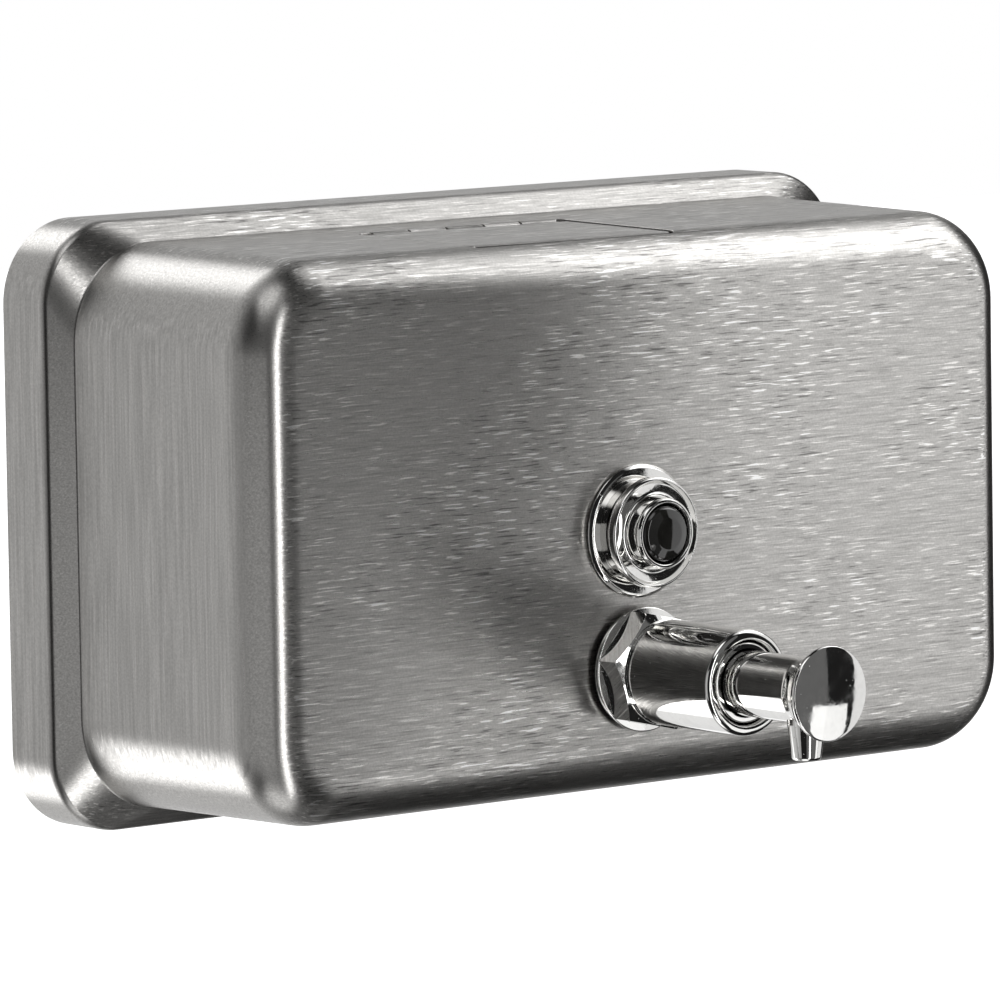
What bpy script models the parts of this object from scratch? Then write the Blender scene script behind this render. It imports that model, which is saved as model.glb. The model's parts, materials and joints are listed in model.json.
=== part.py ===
"""Wall mounted soap dispenser: a horizontal stainless tank with a push valve, a sight gauge and a filler lid.

Frame: origin at the centre of the wall face, +X to the right seen from the front, -Y out of the wall,
+Z up. Sizes are in metres. The valve and the gauge are described by their reach: the distance in
front of the front panel, negative inside the tank.
"""

import math

import bmesh
import bpy
from mathutils import Matrix, Vector

MM = 0.001
GAP = 0.3 * MM  # clearance between pieces that touch on the real object

# Pressed shell
WIDTH = 206 * MM
HEIGHT = 121 * MM
DEPTH = 74 * MM
SHEET = 0.8 * MM
FLANGE_DEPTH = 13 * MM  # from the wall to the top of the slope between flange and body
FLANGE_CORNER = 16.4 * MM
STEP = 4.5 * MM
STEP_SLOPE = math.radians(45)
SHOULDER_RADIUS = 3 * MM
COVE_RADIUS = 1 * MM
BODY_REAR = FLANGE_DEPTH + STEP / math.tan(STEP_SLOPE)
BODY_CORNER = 19.2 * MM
FRONT_RADIUS = 10 * MM
DRAFT = math.radians(1.0)
TAPER = math.tan(DRAFT) * (DEPTH - FRONT_RADIUS - BODY_REAR)
FOLD_SEGMENTS = 3
FRONT_SEGMENTS = 6
CORNER_SEGMENTS = 6
PANEL_CUT = 5 * MM  # how far a hole's cutter reaches on either side of the panel
TRIM_LOW = 40 * MM  # what trims the top is this low and this high
TRIM_HIGH = 70 * MM

# Filler lid, on a piano hinge along its rear edge
LID_LEFT = -38 * MM
LID_RIGHT = 14 * MM
LID_FRONT = -66.4 * MM
LID_SEAM = 0.5 * MM
LID_LIFT = 0.3 * MM
LID_CORNER = 1.6 * MM
HINGE_Y = -31.7 * MM
HINGE_Z = 54.5 * MM
KNUCKLE_RADIUS = 1.5 * MM
KNUCKLE_COUNT = 5
PIN_RADIUS = 0.65 * MM
LID_REAR = HINGE_Y - KNUCKLE_RADIUS - GAP
MOUTH_REAR = HINGE_Y + KNUCKLE_RADIUS + GAP
LEDGE = 4 * MM
SIDE_LEDGE = 2 * MM
LEDGE_CORNER = 2.7 * MM
TONGUE_END = HINGE_Y - 0.6 * MM
CATCH_TOP = 54.4 * MM
CATCH_SHEET = 0.5 * MM
CATCH_HALF_WIDTH = 6 * MM
CATCH_LENGTH = 16 * MM
PIN_LEFT = LID_LEFT + SIDE_LEDGE + GAP
PIN_RIGHT = LID_RIGHT - SIDE_LEDGE - GAP

# Sight gauge and valve, both square to the front panel
PANEL_Y = -DEPTH
AXIS_X = -3 * MM
GAUGE_Z = -3 * MM
VALVE_Z = -30.5 * MM
SHANK_RADIUS = 9 * MM
STROKE = 12 * MM
WASHER_RADIUS = 13.3 * MM
WASHER_TOP = 1.4 * MM
GAUGE_REAR = -9 * MM
LENS_RADIUS = 5.5 * MM
LENS_REACH = 9.9 * MM
GAUGE_GASKET_RADIUS = 12.5 * MM
GAUGE_NUT_FLATS = 25 * MM
GAUGE_NUT_DEPTH = 4 * MM

# Valve
HEX_FLATS = 21.5 * MM
HEX_SEAT = 1.2 * MM
HEX_REACH = 8 * MM
HEX_CHAMFER = 0.9 * MM
BARREL_RADIUS = 10.5 * MM
BARREL_LIP = 1.1 * MM
BARREL_REACH = 33.2 * MM
BARREL_BORE = 8.2 * MM
SHANK_BORE = 7 * MM
SHANK_REAR = -14 * MM
BUSHING_REAR = 22 * MM
SEAL_REAR = 19.2 * MM
SEAL_FRONT = 21.7 * MM
GASKET_RADIUS = 13 * MM
GASKET_THICKNESS = 1 * MM
LOCK_NUT_FLATS = 27 * MM
LOCK_NUT_DEPTH = 5 * MM
BUTTON_RADIUS = 6.5 * MM
BUTTON_REAR = 17 * MM
BUTTON_REACH = 57.9 * MM
DISC_RADIUS = 9.45 * MM
SPOUT_REACH = 50 * MM
SPOUT_DROP = 13.5 * MM
SPOUT_TOP_RADIUS = 3.75 * MM
SPOUT_TIP_RADIUS = 2.9 * MM
STEM_RADIUS = 4 * MM
STEM_BORE = 2 * MM
STEM_REAR = -26 * MM
SPRING_SEAT_REACH = -10.5 * MM
SPRING_RADIUS = 5.3 * MM
SPRING_WIRE = 0.45 * MM
SPRING_TURNS = 8

# Pump inside the tank
CYLINDER_RADIUS = 11 * MM
CYLINDER_BORE = 7.5 * MM
CYLINDER_WALL = 2 * MM
CYLINDER_FRONT = -8.5 * MM
PISTON_REAR = STEM_REAR - 4.3 * MM
PISTON_GROOVE = 1.4 * MM
PISTON_HOLE = 1.8 * MM
INLET_REACH = PISTON_REAR - STROKE - 4.7 * MM
CYLINDER_REAR = INLET_REACH - 7 * MM
BOSS_RADIUS = 5.5 * MM
CHAMBER_RADIUS = 2.6 * MM
THROAT_RADIUS = 1.2 * MM
BALL_RADIUS = 2 * MM
BALL_LIFT = 1.5 * MM
SEAT_HOLE = 1.4 * MM
SEAT_Z = -45 * MM
SEAT_FLANGE = 3.5 * MM
BALL_RISE = math.sqrt(BALL_RADIUS**2 - SEAT_HOLE**2) + GAP  # the ball's centre above its seat
TUBE_RADIUS = 3.2 * MM
TUBE_BORE = 2.3 * MM
TUBE_END_Z = -53 * MM

# Wall plate and hanger
PLATE_THICKNESS = 1.5 * MM
PLATE_HALF_WIDTH = 80 * MM
PLATE_TOP = 42 * MM
PLATE_FOOT = 43.5 * MM
LIP_TOP = 48 * MM
LIP_FRONT = -7.5 * MM
FOOT_FRONT = -11 * MM
RAIL_THICKNESS = 1.2 * MM
RAIL_HALF_WIDTH = 60 * MM
RAIL_HEIGHT = 19 * MM
RAIL_TOP = LIP_TOP + 5.2 * MM
RAIL_REAR = LIP_FRONT + PLATE_THICKNESS + 2.6 * MM
BACK_FRONT_Y = -14.9 * MM
BACK_CORNER = 17 * MM
SCREW_X = 65 * MM
SCREW_Z = 28 * MM
SCREW_RADIUS = 2.2 * MM
HEAD_RADIUS = 4.2 * MM
HEAD_HEIGHT = 2.4 * MM
HEAD_ROUNDING = 1.6 * MM
SLOT_WIDTH = 1 * MM
SLOT_DEPTH = 1.1 * MM
LOCK_Y = -7 * MM
LOCK_RADIUS = 2.5 * MM
LOCK_CHAMFER = 0.8 * MM

FINE = 32
MEDIUM = 24
COARSE = 16
COIL_SEGMENTS = 14

WALL_AXIS = Matrix.Rotation(math.radians(90), 4, "X")


def clear_scene():
    for obj in list(bpy.data.objects):
        bpy.data.objects.remove(obj, do_unlink=True)


def material(name, colour, roughness, metallic):
    made = bpy.data.materials.get(name)
    if made:
        return made
    made = bpy.data.materials.new(name)
    made.use_nodes = True
    shader = made.node_tree.nodes["Principled BSDF"]
    shader.inputs["Base Color"].default_value = (*colour, 1)
    shader.inputs["Roughness"].default_value = roughness
    shader.inputs["Metallic"].default_value = metallic
    return made


def brushed_steel():
    return material("brushed_steel", (0.60, 0.59, 0.58), 0.32, 1.0)


def chrome():
    return material("chrome", (0.82, 0.82, 0.82), 0.05, 1.0)


def plated_steel():
    return material("plated_steel", (0.68, 0.67, 0.64), 0.28, 1.0)


def spring_steel():
    return material("spring_steel", (0.50, 0.50, 0.51), 0.22, 1.0)


def rubber():
    return material("rubber", (0.025, 0.025, 0.027), 0.75, 0.0)


def white_plastic():
    return material("white_plastic", (0.78, 0.78, 0.75), 0.45, 0.0)


def clear_plastic():
    return material("clear_plastic", (0.16, 0.17, 0.17), 0.06, 0.0)


def finish(bm, name, finish_material=None):
    """Turns a bmesh into an object whose faces point out and whose round faces shade smooth."""
    bmesh.ops.recalc_face_normals(bm, faces=bm.faces)
    mesh = bpy.data.meshes.new(name)
    bm.to_mesh(mesh)
    bm.free()
    mesh.shade_smooth()
    mesh.set_sharp_from_angle(angle=math.radians(32))
    if finish_material:
        mesh.materials.append(finish_material)
    obj = bpy.data.objects.new(name, mesh)
    bpy.context.scene.collection.objects.link(obj)
    return obj


def helper(obj):
    """Marks an object as a cutter or a joining piece, which isn't part of the dispenser."""
    obj.hide_render = True
    obj.display_type = "WIRE"
    return obj


def combine(obj, operation, other):
    modifier = obj.modifiers.new(f"{operation.lower()} {other.name}", "BOOLEAN")
    modifier.operation = operation
    modifier.solver = "EXACT"
    modifier.object = helper(other)


def cut(obj, *cutters):
    for cutter in cutters:
        combine(obj, "DIFFERENCE", cutter)


def join(obj, *others):
    for other in others:
        combine(obj, "UNION", other)


def box(name, low, high, finish_material=None):
    bm = bmesh.new()
    size = Vector(high) - Vector(low)
    centre = (Vector(high) + Vector(low)) / 2
    bmesh.ops.create_cube(bm, size=1, matrix=Matrix.Translation(centre) @ Matrix.Diagonal((*size, 1)))
    return finish(bm, name, finish_material)


def fill_between(bm, first, second):
    """Faces between two rings of vertices, where a ring of one vertex is a pole."""
    count = max(len(first), len(second))
    for i in range(count):
        j = (i + 1) % count
        corners = [first[i % len(first)], first[j % len(first)]]
        corners += [second[j % len(second)], second[i % len(second)]]
        bm.faces.new(list(dict.fromkeys(corners)))


def block(bm, first, second):
    """Closes a block between two matching outlines."""
    fill_between(bm, first, second)
    bm.faces.new(first)
    bm.faces.new(second)


def turned(name, profile, place, finish_material=None, segments=MEDIUM):
    """A body turned from (radius, height) points; a profile that starts and ends off the axis is a ring."""
    bm = bmesh.new()
    rings = []
    for radius, height in profile:
        steps = segments if radius > 0 else 1
        angles = [2 * math.pi * i / steps for i in range(steps)]
        points = [(radius * math.cos(a), radius * math.sin(a), height) for a in angles]
        rings.append([bm.verts.new(place @ Vector(point)) for point in points])
    is_ring = profile[0][0] > 0 and profile[-1][0] > 0
    pairs = list(zip(rings, rings[1:]))
    if is_ring:
        pairs.append((rings[-1], rings[0]))
    for first, second in pairs:
        fill_between(bm, first, second)
    return finish(bm, name, finish_material)


def on_panel(z):
    """The place of a piece square to the panel: its height is its reach in front of the panel."""
    return Matrix.Translation((AXIS_X, PANEL_Y, z)) @ WALL_AXIS


def upright(x, y):
    return Matrix.Translation((x, y, 0))


def along_x(y, z):
    return Matrix.Translation((0, y, z)) @ Matrix.Rotation(math.radians(90), 4, "Y")


def tube_profile(inner, outer, low, high):
    return [(outer, low), (outer, high), (inner, high), (inner, low)]


def rod_profile(radius, low, high):
    return [(0, low), (radius, low), (radius, high), (0, high)]


def arc(centre, radius, start, end, steps):
    """(radius, height) points along an arc in a turned profile, angles in degrees from the radius axis."""
    points = []
    for i in range(steps + 1):
        angle = math.radians(start + (end - start) * i / steps)
        points.append((centre[0] + radius * math.cos(angle), centre[1] + radius * math.sin(angle)))
    return points


def drilled(name, radius, place, low, high, segments=MEDIUM):
    return turned(name, rod_profile(radius, low, high), place, segments=segments)


def hexagon(name, flats, low, high, place, chamfer, finish_material=None):
    """A hexagonal prism with flats at its top and bottom, chamfered where its corners meet its ends."""
    corner = flats / math.sqrt(3)
    bm = bmesh.new()
    rings = []
    for height, shrink in ((low, chamfer), (low + chamfer / 2, 0), (high - chamfer / 2, 0), (high, chamfer)):
        ring = []
        for i in range(6):
            angle = math.radians(60 * i)
            radius = corner - shrink
            point = Vector((radius * math.cos(angle), radius * math.sin(angle), height))
            ring.append(bm.verts.new(place @ point))
        rings.append(ring)
    for first, second in zip(rings, rings[1:]):
        fill_between(bm, first, second)
    bm.faces.new(rings[0])
    bm.faces.new(rings[-1])
    return finish(bm, name, finish_material)


def folded(name, outline, half_width, centre_x, finish_material):
    """Sheet metal bent along X: a (y, z) outline carried across the width."""
    bm = bmesh.new()
    ends = []
    for x in (centre_x - half_width, centre_x + half_width):
        ends.append([bm.verts.new((x, y, z)) for y, z in outline])
    block(bm, *ends)
    return finish(bm, name, finish_material)


def rounded_rectangle(half_width, half_height, radius):
    """(x, z) corners of a rectangle with rounded corners, anticlockwise from the right side's top."""
    points = []
    for quarter, (sx, sz) in enumerate(((1, 1), (-1, 1), (-1, -1), (1, -1))):
        for i in range(CORNER_SEGMENTS + 1):
            angle = math.radians(90 * quarter + 90 * i / CORNER_SEGMENTS)
            x = sx * (half_width - radius) + radius * math.cos(angle)
            z = sz * (half_height - radius) + radius * math.sin(angle)
            points.append((x, z))
    return points


def bend(centre, radius, start, end, segments):
    """(inset, y) points round a bend of the sheet, angles from square to the side towards the panel."""
    points = []
    for i in range(segments + 1):
        turn = start + (end - start) * i / segments
        points.append((centre[0] + radius * math.cos(turn), centre[1] + radius * math.sin(turn)))
    return points


def pressing_sections(depth):
    """(inset, y, whether it is in the flange) along the pressing's side, at a depth below its outer surface.

    The flange runs straight from the wall, turns down a slope and turns back into the drafted body,
    which ends in the rounding to the front panel.
    """
    shoulder_y = -FLANGE_DEPTH + SHOULDER_RADIUS * math.tan(STEP_SLOPE / 2)
    cove_y = -BODY_REAR - COVE_RADIUS * math.tan(STEP_SLOPE / 2)
    shoulder_centre = (SHOULDER_RADIUS, shoulder_y)
    cove_centre = (STEP - COVE_RADIUS, cove_y)
    front_centre = (STEP + TAPER + FRONT_RADIUS, -(DEPTH - FRONT_RADIUS))
    shoulder = bend(shoulder_centre, SHOULDER_RADIUS - depth, math.pi, math.pi + STEP_SLOPE, FOLD_SEGMENTS)
    cove = bend(cove_centre, COVE_RADIUS + depth, STEP_SLOPE, 0, FOLD_SEGMENTS)
    front = bend(front_centre, FRONT_RADIUS - depth, math.pi, 1.5 * math.pi, FRONT_SEGMENTS)
    flange = [(depth, 0.0), *shoulder]
    return [(*point, True) for point in flange] + [(*point, False) for point in cove + front]


def pressing_ring(bm, inset, y, in_flange, lift):
    """One outline of the pressing. Flange and body have their own corner radii, each kept parallel."""
    corner = FLANGE_CORNER - inset if in_flange else BODY_CORNER + STEP - inset
    outline = rounded_rectangle(WIDTH / 2 - inset, HEIGHT / 2 - inset, corner)
    return [bm.verts.new((x, y, z + lift)) for x, z in outline]


def pressed_layer(name, outer_depth, inner_depth, finish_material=None, lift=0.0):
    """The box-shaped pressing between two depths below its outer surface, open at the wall."""
    bm = bmesh.new()
    skins = []
    for depth in (outer_depth, inner_depth):
        skin = [pressing_ring(bm, *section, lift) for section in pressing_sections(depth)]
        for first, second in zip(skin, skin[1:]):
            fill_between(bm, first, second)
        bm.faces.new(skin[-1])
        skins.append(skin)
    fill_between(bm, skins[0][0], skins[1][0])
    return finish(bm, name, finish_material)


def rounded_blank(name, left, right, front, rear, corner):
    """A tall block with rounded upright edges, which trims a pressing to a lid's outline."""
    bm = bmesh.new()
    centre_x = (left + right) / 2
    centre_y = (front + rear) / 2
    outline = rounded_rectangle((right - left) / 2, (rear - front) / 2, corner)
    rings = []
    for z in (TRIM_LOW, TRIM_HIGH):
        rings.append([bm.verts.new((centre_x + x, centre_y + y, z)) for x, y in outline])
    block(bm, *rings)
    return finish(bm, name)


def knuckle_spans(is_lid):
    """(left, right) of each hinge knuckle; the lid has the first, the third and the fifth."""
    pitch = (PIN_RIGHT - PIN_LEFT) / KNUCKLE_COUNT
    spans = []
    for i in range(KNUCKLE_COUNT):
        if (i % 2 == 0) == is_lid:
            left = PIN_LEFT + pitch * i
            spans.append((left + GAP, left + pitch - GAP))
    return spans


def knuckle_barrel(name, span):
    return turned(name, rod_profile(KNUCKLE_RADIUS, *span), along_x(HINGE_Y, HINGE_Z), segments=COARSE)


def pin_bore(name):
    return drilled(name, PIN_RADIUS + GAP, along_x(HINGE_Y, HINGE_Z), PIN_LEFT, PIN_RIGHT, COARSE)


def make_tank_shell():
    shell = pressed_layer("tank_shell", 0, SHEET, brushed_steel())
    mouth = box(
        "mouth_cutter",
        (LID_LEFT - LID_SEAM, LID_FRONT - LID_SEAM, TRIM_LOW),
        (LID_RIGHT + LID_SEAM, MOUTH_REAR, TRIM_HIGH),
    )
    hole = SHANK_RADIUS + GAP
    valve_hole = drilled("valve_hole", hole, on_panel(VALVE_Z), -PANEL_CUT, PANEL_CUT)
    gauge_hole = drilled("gauge_hole", hole, on_panel(GAUGE_Z), -PANEL_CUT, PANEL_CUT)
    low = -HEIGHT / 2 - PANEL_CUT
    lock_hole = drilled("lock_hole", LOCK_RADIUS + GAP, upright(0, LOCK_Y), low, low + 2 * PANEL_CUT, COARSE)
    cut(shell, mouth, valve_hole, gauge_hole, lock_hole)


def make_tank_back():
    """The plate that closes the tank behind the slope, welded in from the wall side."""
    slope_inset = (-BACK_FRONT_Y - FLANGE_DEPTH) * math.tan(STEP_SLOPE)
    inset = slope_inset + (SHEET + GAP) / math.cos(STEP_SLOPE)
    outline = rounded_rectangle(WIDTH / 2 - inset, HEIGHT / 2 - inset, BACK_CORNER)
    bm = bmesh.new()
    rings = []
    for y in (BACK_FRONT_Y, BACK_FRONT_Y + SHEET):
        rings.append([bm.verts.new((x, y, z)) for x, z in outline])
    block(bm, *rings)
    finish(bm, "tank_back", brushed_steel())


def make_hanger_rail():
    """A bent rail on the back of the tank that drops over the wall plate's lip."""
    front = BACK_FRONT_Y + SHEET + GAP
    inner_top = RAIL_TOP - RAIL_THICKNESS
    inner_front = front + RAIL_THICKNESS
    inner_rear = RAIL_REAR - RAIL_THICKNESS
    outline = [
        (front, RAIL_TOP - RAIL_HEIGHT),
        (front, RAIL_TOP),
        (RAIL_REAR, RAIL_TOP),
        (RAIL_REAR, PLATE_TOP + GAP),
        (inner_rear, PLATE_TOP + GAP),
        (inner_rear, inner_top),
        (inner_front, inner_top),
        (inner_front, RAIL_TOP - RAIL_HEIGHT),
    ]
    folded("hanger_rail", outline, RAIL_HALF_WIDTH, 0, plated_steel())


def make_wall_plate():
    """The plate screwed to the wall: a lip to hang on at its top and a foot for the locking screw."""
    face = -PLATE_THICKNESS
    outline = [
        (0, -PLATE_FOOT),
        (0, PLATE_TOP),
        (LIP_FRONT + PLATE_THICKNESS, PLATE_TOP),
        (LIP_FRONT + PLATE_THICKNESS, LIP_TOP),
        (LIP_FRONT, LIP_TOP),
        (LIP_FRONT, PLATE_TOP - PLATE_THICKNESS),
        (face, PLATE_TOP - PLATE_THICKNESS),
        (face, -PLATE_FOOT + PLATE_THICKNESS),
        (FOOT_FRONT, -PLATE_FOOT + PLATE_THICKNESS),
        (FOOT_FRONT, -PLATE_FOOT),
    ]
    plate = folded("wall_plate", outline, PLATE_HALF_WIDTH, 0, plated_steel())
    for i, (x, z) in enumerate(screw_places()):
        place = Matrix.Translation((x, 0, z)) @ WALL_AXIS
        hole = drilled(f"screw_hole_{i}", SCREW_RADIUS + GAP, place, -PANEL_CUT, PANEL_CUT, COARSE)
        cut(plate, hole)
    low = -PLATE_FOOT - PANEL_CUT
    bore = drilled("foot_hole", LOCK_RADIUS + GAP, upright(0, LOCK_Y), low, -PLATE_FOOT + PANEL_CUT, COARSE)
    cut(plate, bore)


def screw_places():
    return [(x, z) for z in (SCREW_Z, -SCREW_Z) for x in (-SCREW_X, SCREW_X)]


def make_wall_screws():
    """Slotted pan head screws, with the length of shank that lies in the plate."""
    head = PLATE_THICKNESS + GAP
    crown_centre = (HEAD_RADIUS - HEAD_ROUNDING, head + HEAD_HEIGHT - HEAD_ROUNDING)
    crown = arc(crown_centre, HEAD_ROUNDING, 0, 90, 4)
    profile = [(0, 0), (SCREW_RADIUS, 0), (SCREW_RADIUS, head), (HEAD_RADIUS, head), *crown]
    profile.append((0, head + HEAD_HEIGHT))
    slot_floor = -(head + HEAD_HEIGHT - SLOT_DEPTH)
    for i, (x, z) in enumerate(screw_places(), start=1):
        place = Matrix.Translation((x, 0, z)) @ WALL_AXIS
        screw = turned(f"wall_screw_{i}", profile, place, plated_steel(), COARSE)
        low = (x - 2 * HEAD_RADIUS, slot_floor - HEAD_HEIGHT, z - SLOT_WIDTH / 2)
        high = (x + 2 * HEAD_RADIUS, slot_floor, z + SLOT_WIDTH / 2)
        cut(screw, box(f"screw_slot_{i}", low, high))


def make_locking_screw():
    """A socket set screw up through the shell's underside and the wall plate's foot."""
    low = -HEIGHT / 2 + GAP
    place = upright(0, LOCK_Y)
    high = -PLATE_FOOT + 6 * MM
    point = LOCK_RADIUS - LOCK_CHAMFER
    socket_flats = LOCK_RADIUS
    profile = [(0, low), (point + GAP, low), (LOCK_RADIUS, low + LOCK_CHAMFER / 2)]
    profile += [(LOCK_RADIUS, high - LOCK_CHAMFER), (point, high), (0, high)]
    screw = turned("locking_screw", profile, place, spring_steel(), COARSE)
    cut(screw, hexagon("lock_socket", socket_flats, low - MM, low + 3 * MM, place, 0.1 * MM))


def make_filler_frame():
    """The ledge welded under the mouth, which carries the lid's fixed knuckles."""
    frame = pressed_layer("filler_frame", SHEET + GAP, 2 * SHEET + GAP, brushed_steel())
    front = LID_FRONT - LEDGE
    rear = MOUTH_REAR + LEDGE
    outside = rounded_blank("frame_blank", LID_LEFT - LEDGE, LID_RIGHT + LEDGE, front, rear, LEDGE_CORNER)
    combine(frame, "INTERSECT", outside)
    mouth = rounded_blank(
        "frame_mouth", LID_LEFT + SIDE_LEDGE, LID_RIGHT - SIDE_LEDGE, LID_FRONT + LEDGE, MOUTH_REAR, GAP
    )
    cut(frame, mouth)
    for i, (left, right) in enumerate(knuckle_spans(is_lid=False)):
        arm_low = (left, HINGE_Y + 0.4 * MM, HINGE_Z - 0.8 * MM)
        arm = box(f"frame_arm_{i}", arm_low, (right, MOUTH_REAR + 1.5 * MM, HINGE_Z))
        join(frame, arm, knuckle_barrel(f"frame_barrel_{i}", (left, right)))
    cut(frame, pin_bore("frame_pin_bore"))
    return frame


def make_filler_lid():
    """The lid is the same pressing as the shell, a little proud, with knuckles rolled from its rear edge."""
    lid = pressed_layer("filler_lid", 0, SHEET, brushed_steel(), lift=LID_LIFT)
    blank = rounded_blank("lid_blank", LID_LEFT, LID_RIGHT, LID_FRONT, TONGUE_END, LID_CORNER)
    combine(lid, "INTERSECT", blank)
    notches = []
    lid_spans = knuckle_spans(is_lid=True)
    edges = [LID_LEFT - SIDE_LEDGE, *[x for span in lid_spans for x in span], LID_RIGHT + SIDE_LEDGE]
    for i in range(0, len(edges), 2):
        notches.append(box(f"lid_notch_{i}", (edges[i], LID_REAR, TRIM_LOW), (edges[i + 1], 0, TRIM_HIGH)))
    cut(lid, *notches)
    for i, span in enumerate(lid_spans):
        join(lid, knuckle_barrel(f"lid_barrel_{i}", span))
    cut(lid, pin_bore("lid_pin_bore"))
    return lid


def make_hinge_pin():
    profile = rod_profile(PIN_RADIUS, PIN_LEFT + GAP, PIN_RIGHT - GAP)
    turned("hinge_pin", profile, along_x(HINGE_Y, HINGE_Z), spring_steel(), COARSE)


def make_lid_catch():
    """A leaf spring under the lid whose bent end snaps against the ledge."""
    snap = LID_FRONT + LEDGE + GAP
    rear = LID_FRONT + CATCH_LENGTH
    outline = [
        (rear, CATCH_TOP),
        (snap, CATCH_TOP),
        (snap, CATCH_TOP - 1.6 * MM),
        (snap + 0.9 * MM, CATCH_TOP - 2.5 * MM),
        (snap + 1.4 * MM, CATCH_TOP - 2.3 * MM),
        (snap + CATCH_SHEET, CATCH_TOP - 1.4 * MM),
        (snap + CATCH_SHEET, CATCH_TOP - CATCH_SHEET),
        (rear, CATCH_TOP - CATCH_SHEET),
    ]
    return folded("lid_catch", outline, CATCH_HALF_WIDTH, (LID_LEFT + LID_RIGHT) / 2, spring_steel())


def make_gauge():
    """The sight gauge: a stepped chrome bezel with a clear lens, clamped through the panel by a nut."""
    place = on_panel(GAUGE_Z)
    hole = SHANK_RADIUS + GAP
    edge = WASHER_RADIUS
    washer = [(hole, GAP), (edge - GAP, GAP), (edge, 0.7 * MM), (edge - 0.4 * MM, 1.2 * MM)]
    washer.append((hole, WASHER_TOP))
    turned("gauge_washer", washer, place, chrome(), FINE)

    lens_hole = LENS_RADIUS + GAP
    rim = arc((9.85 * MM, 4.25 * MM), 1.0 * MM, -80, 100, 6)
    valley = [(8.6 * MM, 4.2 * MM), (7.4 * MM, 4.4 * MM)]
    collar = arc((6.6 * MM, 8.0 * MM), 0.6 * MM, -10, 180, 6)
    profile = [(lens_hole, GAUGE_REAR), (SHANK_RADIUS, GAUGE_REAR), (SHANK_RADIUS, WASHER_TOP + GAP)]
    profile += [(9.7 * MM, 2.2 * MM), *rim, *valley, (6.9 * MM, 7.2 * MM), *collar]
    profile.append((lens_hole, 7.4 * MM))
    turned("gauge_bezel", profile, place, chrome(), FINE)

    lens_rear = GAUGE_REAR + 0.4 * MM
    dome = [(LENS_RADIUS, 8.5 * MM), (5.1 * MM, 9.1 * MM), (4.2 * MM, 9.5 * MM), (2.4 * MM, 9.8 * MM)]
    lens = [(0, lens_rear), (LENS_RADIUS, lens_rear), *dome, (0, LENS_REACH)]
    turned("gauge_lens", lens, place, clear_plastic(), MEDIUM)

    inside = -SHEET - GAP
    gasket = tube_profile(hole, GAUGE_GASKET_RADIUS, inside - GASKET_THICKNESS, inside)
    turned("gauge_gasket", gasket, place, rubber(), COARSE)
    nut_front = inside - GASKET_THICKNESS - GAP
    nut_rear = nut_front - GAUGE_NUT_DEPTH
    nut = hexagon("gauge_nut", GAUGE_NUT_FLATS, nut_rear, nut_front, place, HEX_CHAMFER, chrome())
    cut(nut, drilled("gauge_nut_bore", hole, place, nut_rear - MM, nut_front + MM))


def make_valve_body():
    """Hexagon, barrel and threaded shank in one, bored through for the push button."""
    place = on_panel(VALVE_Z)
    waist = BARREL_RADIUS - 0.5 * MM
    shelf = SHANK_REAR + 2 * MM
    lip = arc((BARREL_RADIUS - BARREL_LIP, BARREL_REACH - BARREL_LIP), BARREL_LIP, 0, 90, 5)
    profile = [(SHANK_BORE, SHANK_REAR), (SHANK_RADIUS, SHANK_REAR), (SHANK_RADIUS, HEX_SEAT)]
    profile += [(waist, HEX_SEAT), (waist, HEX_REACH - MM), (waist, HEX_REACH + 0.6 * MM)]
    profile += [(BARREL_RADIUS, HEX_REACH + 1.4 * MM), *lip]
    profile += [(BARREL_BORE + 0.4 * MM, BARREL_REACH - 0.5 * MM), (BARREL_BORE, BARREL_REACH - 1.2 * MM)]
    profile += [(BARREL_BORE, shelf), (SHANK_BORE, shelf)]
    body = turned("valve_body", profile, place, chrome(), FINE)
    collar = hexagon("valve_hexagon", HEX_FLATS, HEX_SEAT, HEX_REACH, place, HEX_CHAMFER)
    bore_end = HEX_REACH + 3 * MM
    cut(collar, drilled("hexagon_bore", SHANK_RADIUS, place, -3 * MM, bore_end, FINE))
    join(body, collar)


def make_valve_fittings():
    """What seals and clamps the valve in the panel, and guides and seals the push button in it."""
    place = on_panel(VALVE_Z)
    hole = SHANK_RADIUS + GAP
    outer = tube_profile(hole, HEX_FLATS / 2 - GAP, GAP, HEX_SEAT - GAP)
    turned("valve_gasket_outer", outer, place, rubber(), MEDIUM)
    inside = -SHEET - GAP
    inner = tube_profile(hole, GASKET_RADIUS, inside - GASKET_THICKNESS, inside)
    turned("valve_gasket_inner", inner, place, rubber(), COARSE)
    nut_front = inside - GASKET_THICKNESS - GAP
    nut_rear = nut_front - LOCK_NUT_DEPTH
    nut = hexagon("valve_lock_nut", LOCK_NUT_FLATS, nut_rear, nut_front, place, HEX_CHAMFER, plated_steel())
    cut(nut, drilled("lock_nut_bore", hole, place, nut_rear - MM, nut_front + MM))

    sliding = BUTTON_RADIUS + GAP
    snug = BARREL_BORE - GAP
    front = BARREL_REACH - 0.6 * MM
    bushing = [(snug, BUSHING_REAR), (snug, front - 0.5 * MM), (snug - 0.4 * MM, front), (sliding, front)]
    bushing.append((sliding, BUSHING_REAR))
    turned("button_bushing", bushing, place, chrome(), FINE)
    seal = tube_profile(sliding, snug, SEAL_REAR, SEAL_FRONT)
    turned("button_seal", seal, place, rubber(), MEDIUM)
    seat = tube_profile(STEM_RADIUS + GAP, snug, SPRING_SEAT_REACH - MM, SPRING_SEAT_REACH)
    turned("spring_seat", seat, place, plated_steel(), COARSE)


def helix(radius, low, high, turns, points_per_turn):
    count = round(turns * points_per_turn)
    points = []
    for i in range(count + 1):
        angle = 2 * math.pi * i / points_per_turn
        points.append((radius * math.cos(angle), radius * math.sin(angle), low + (high - low) * i / count))
    return points


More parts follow.
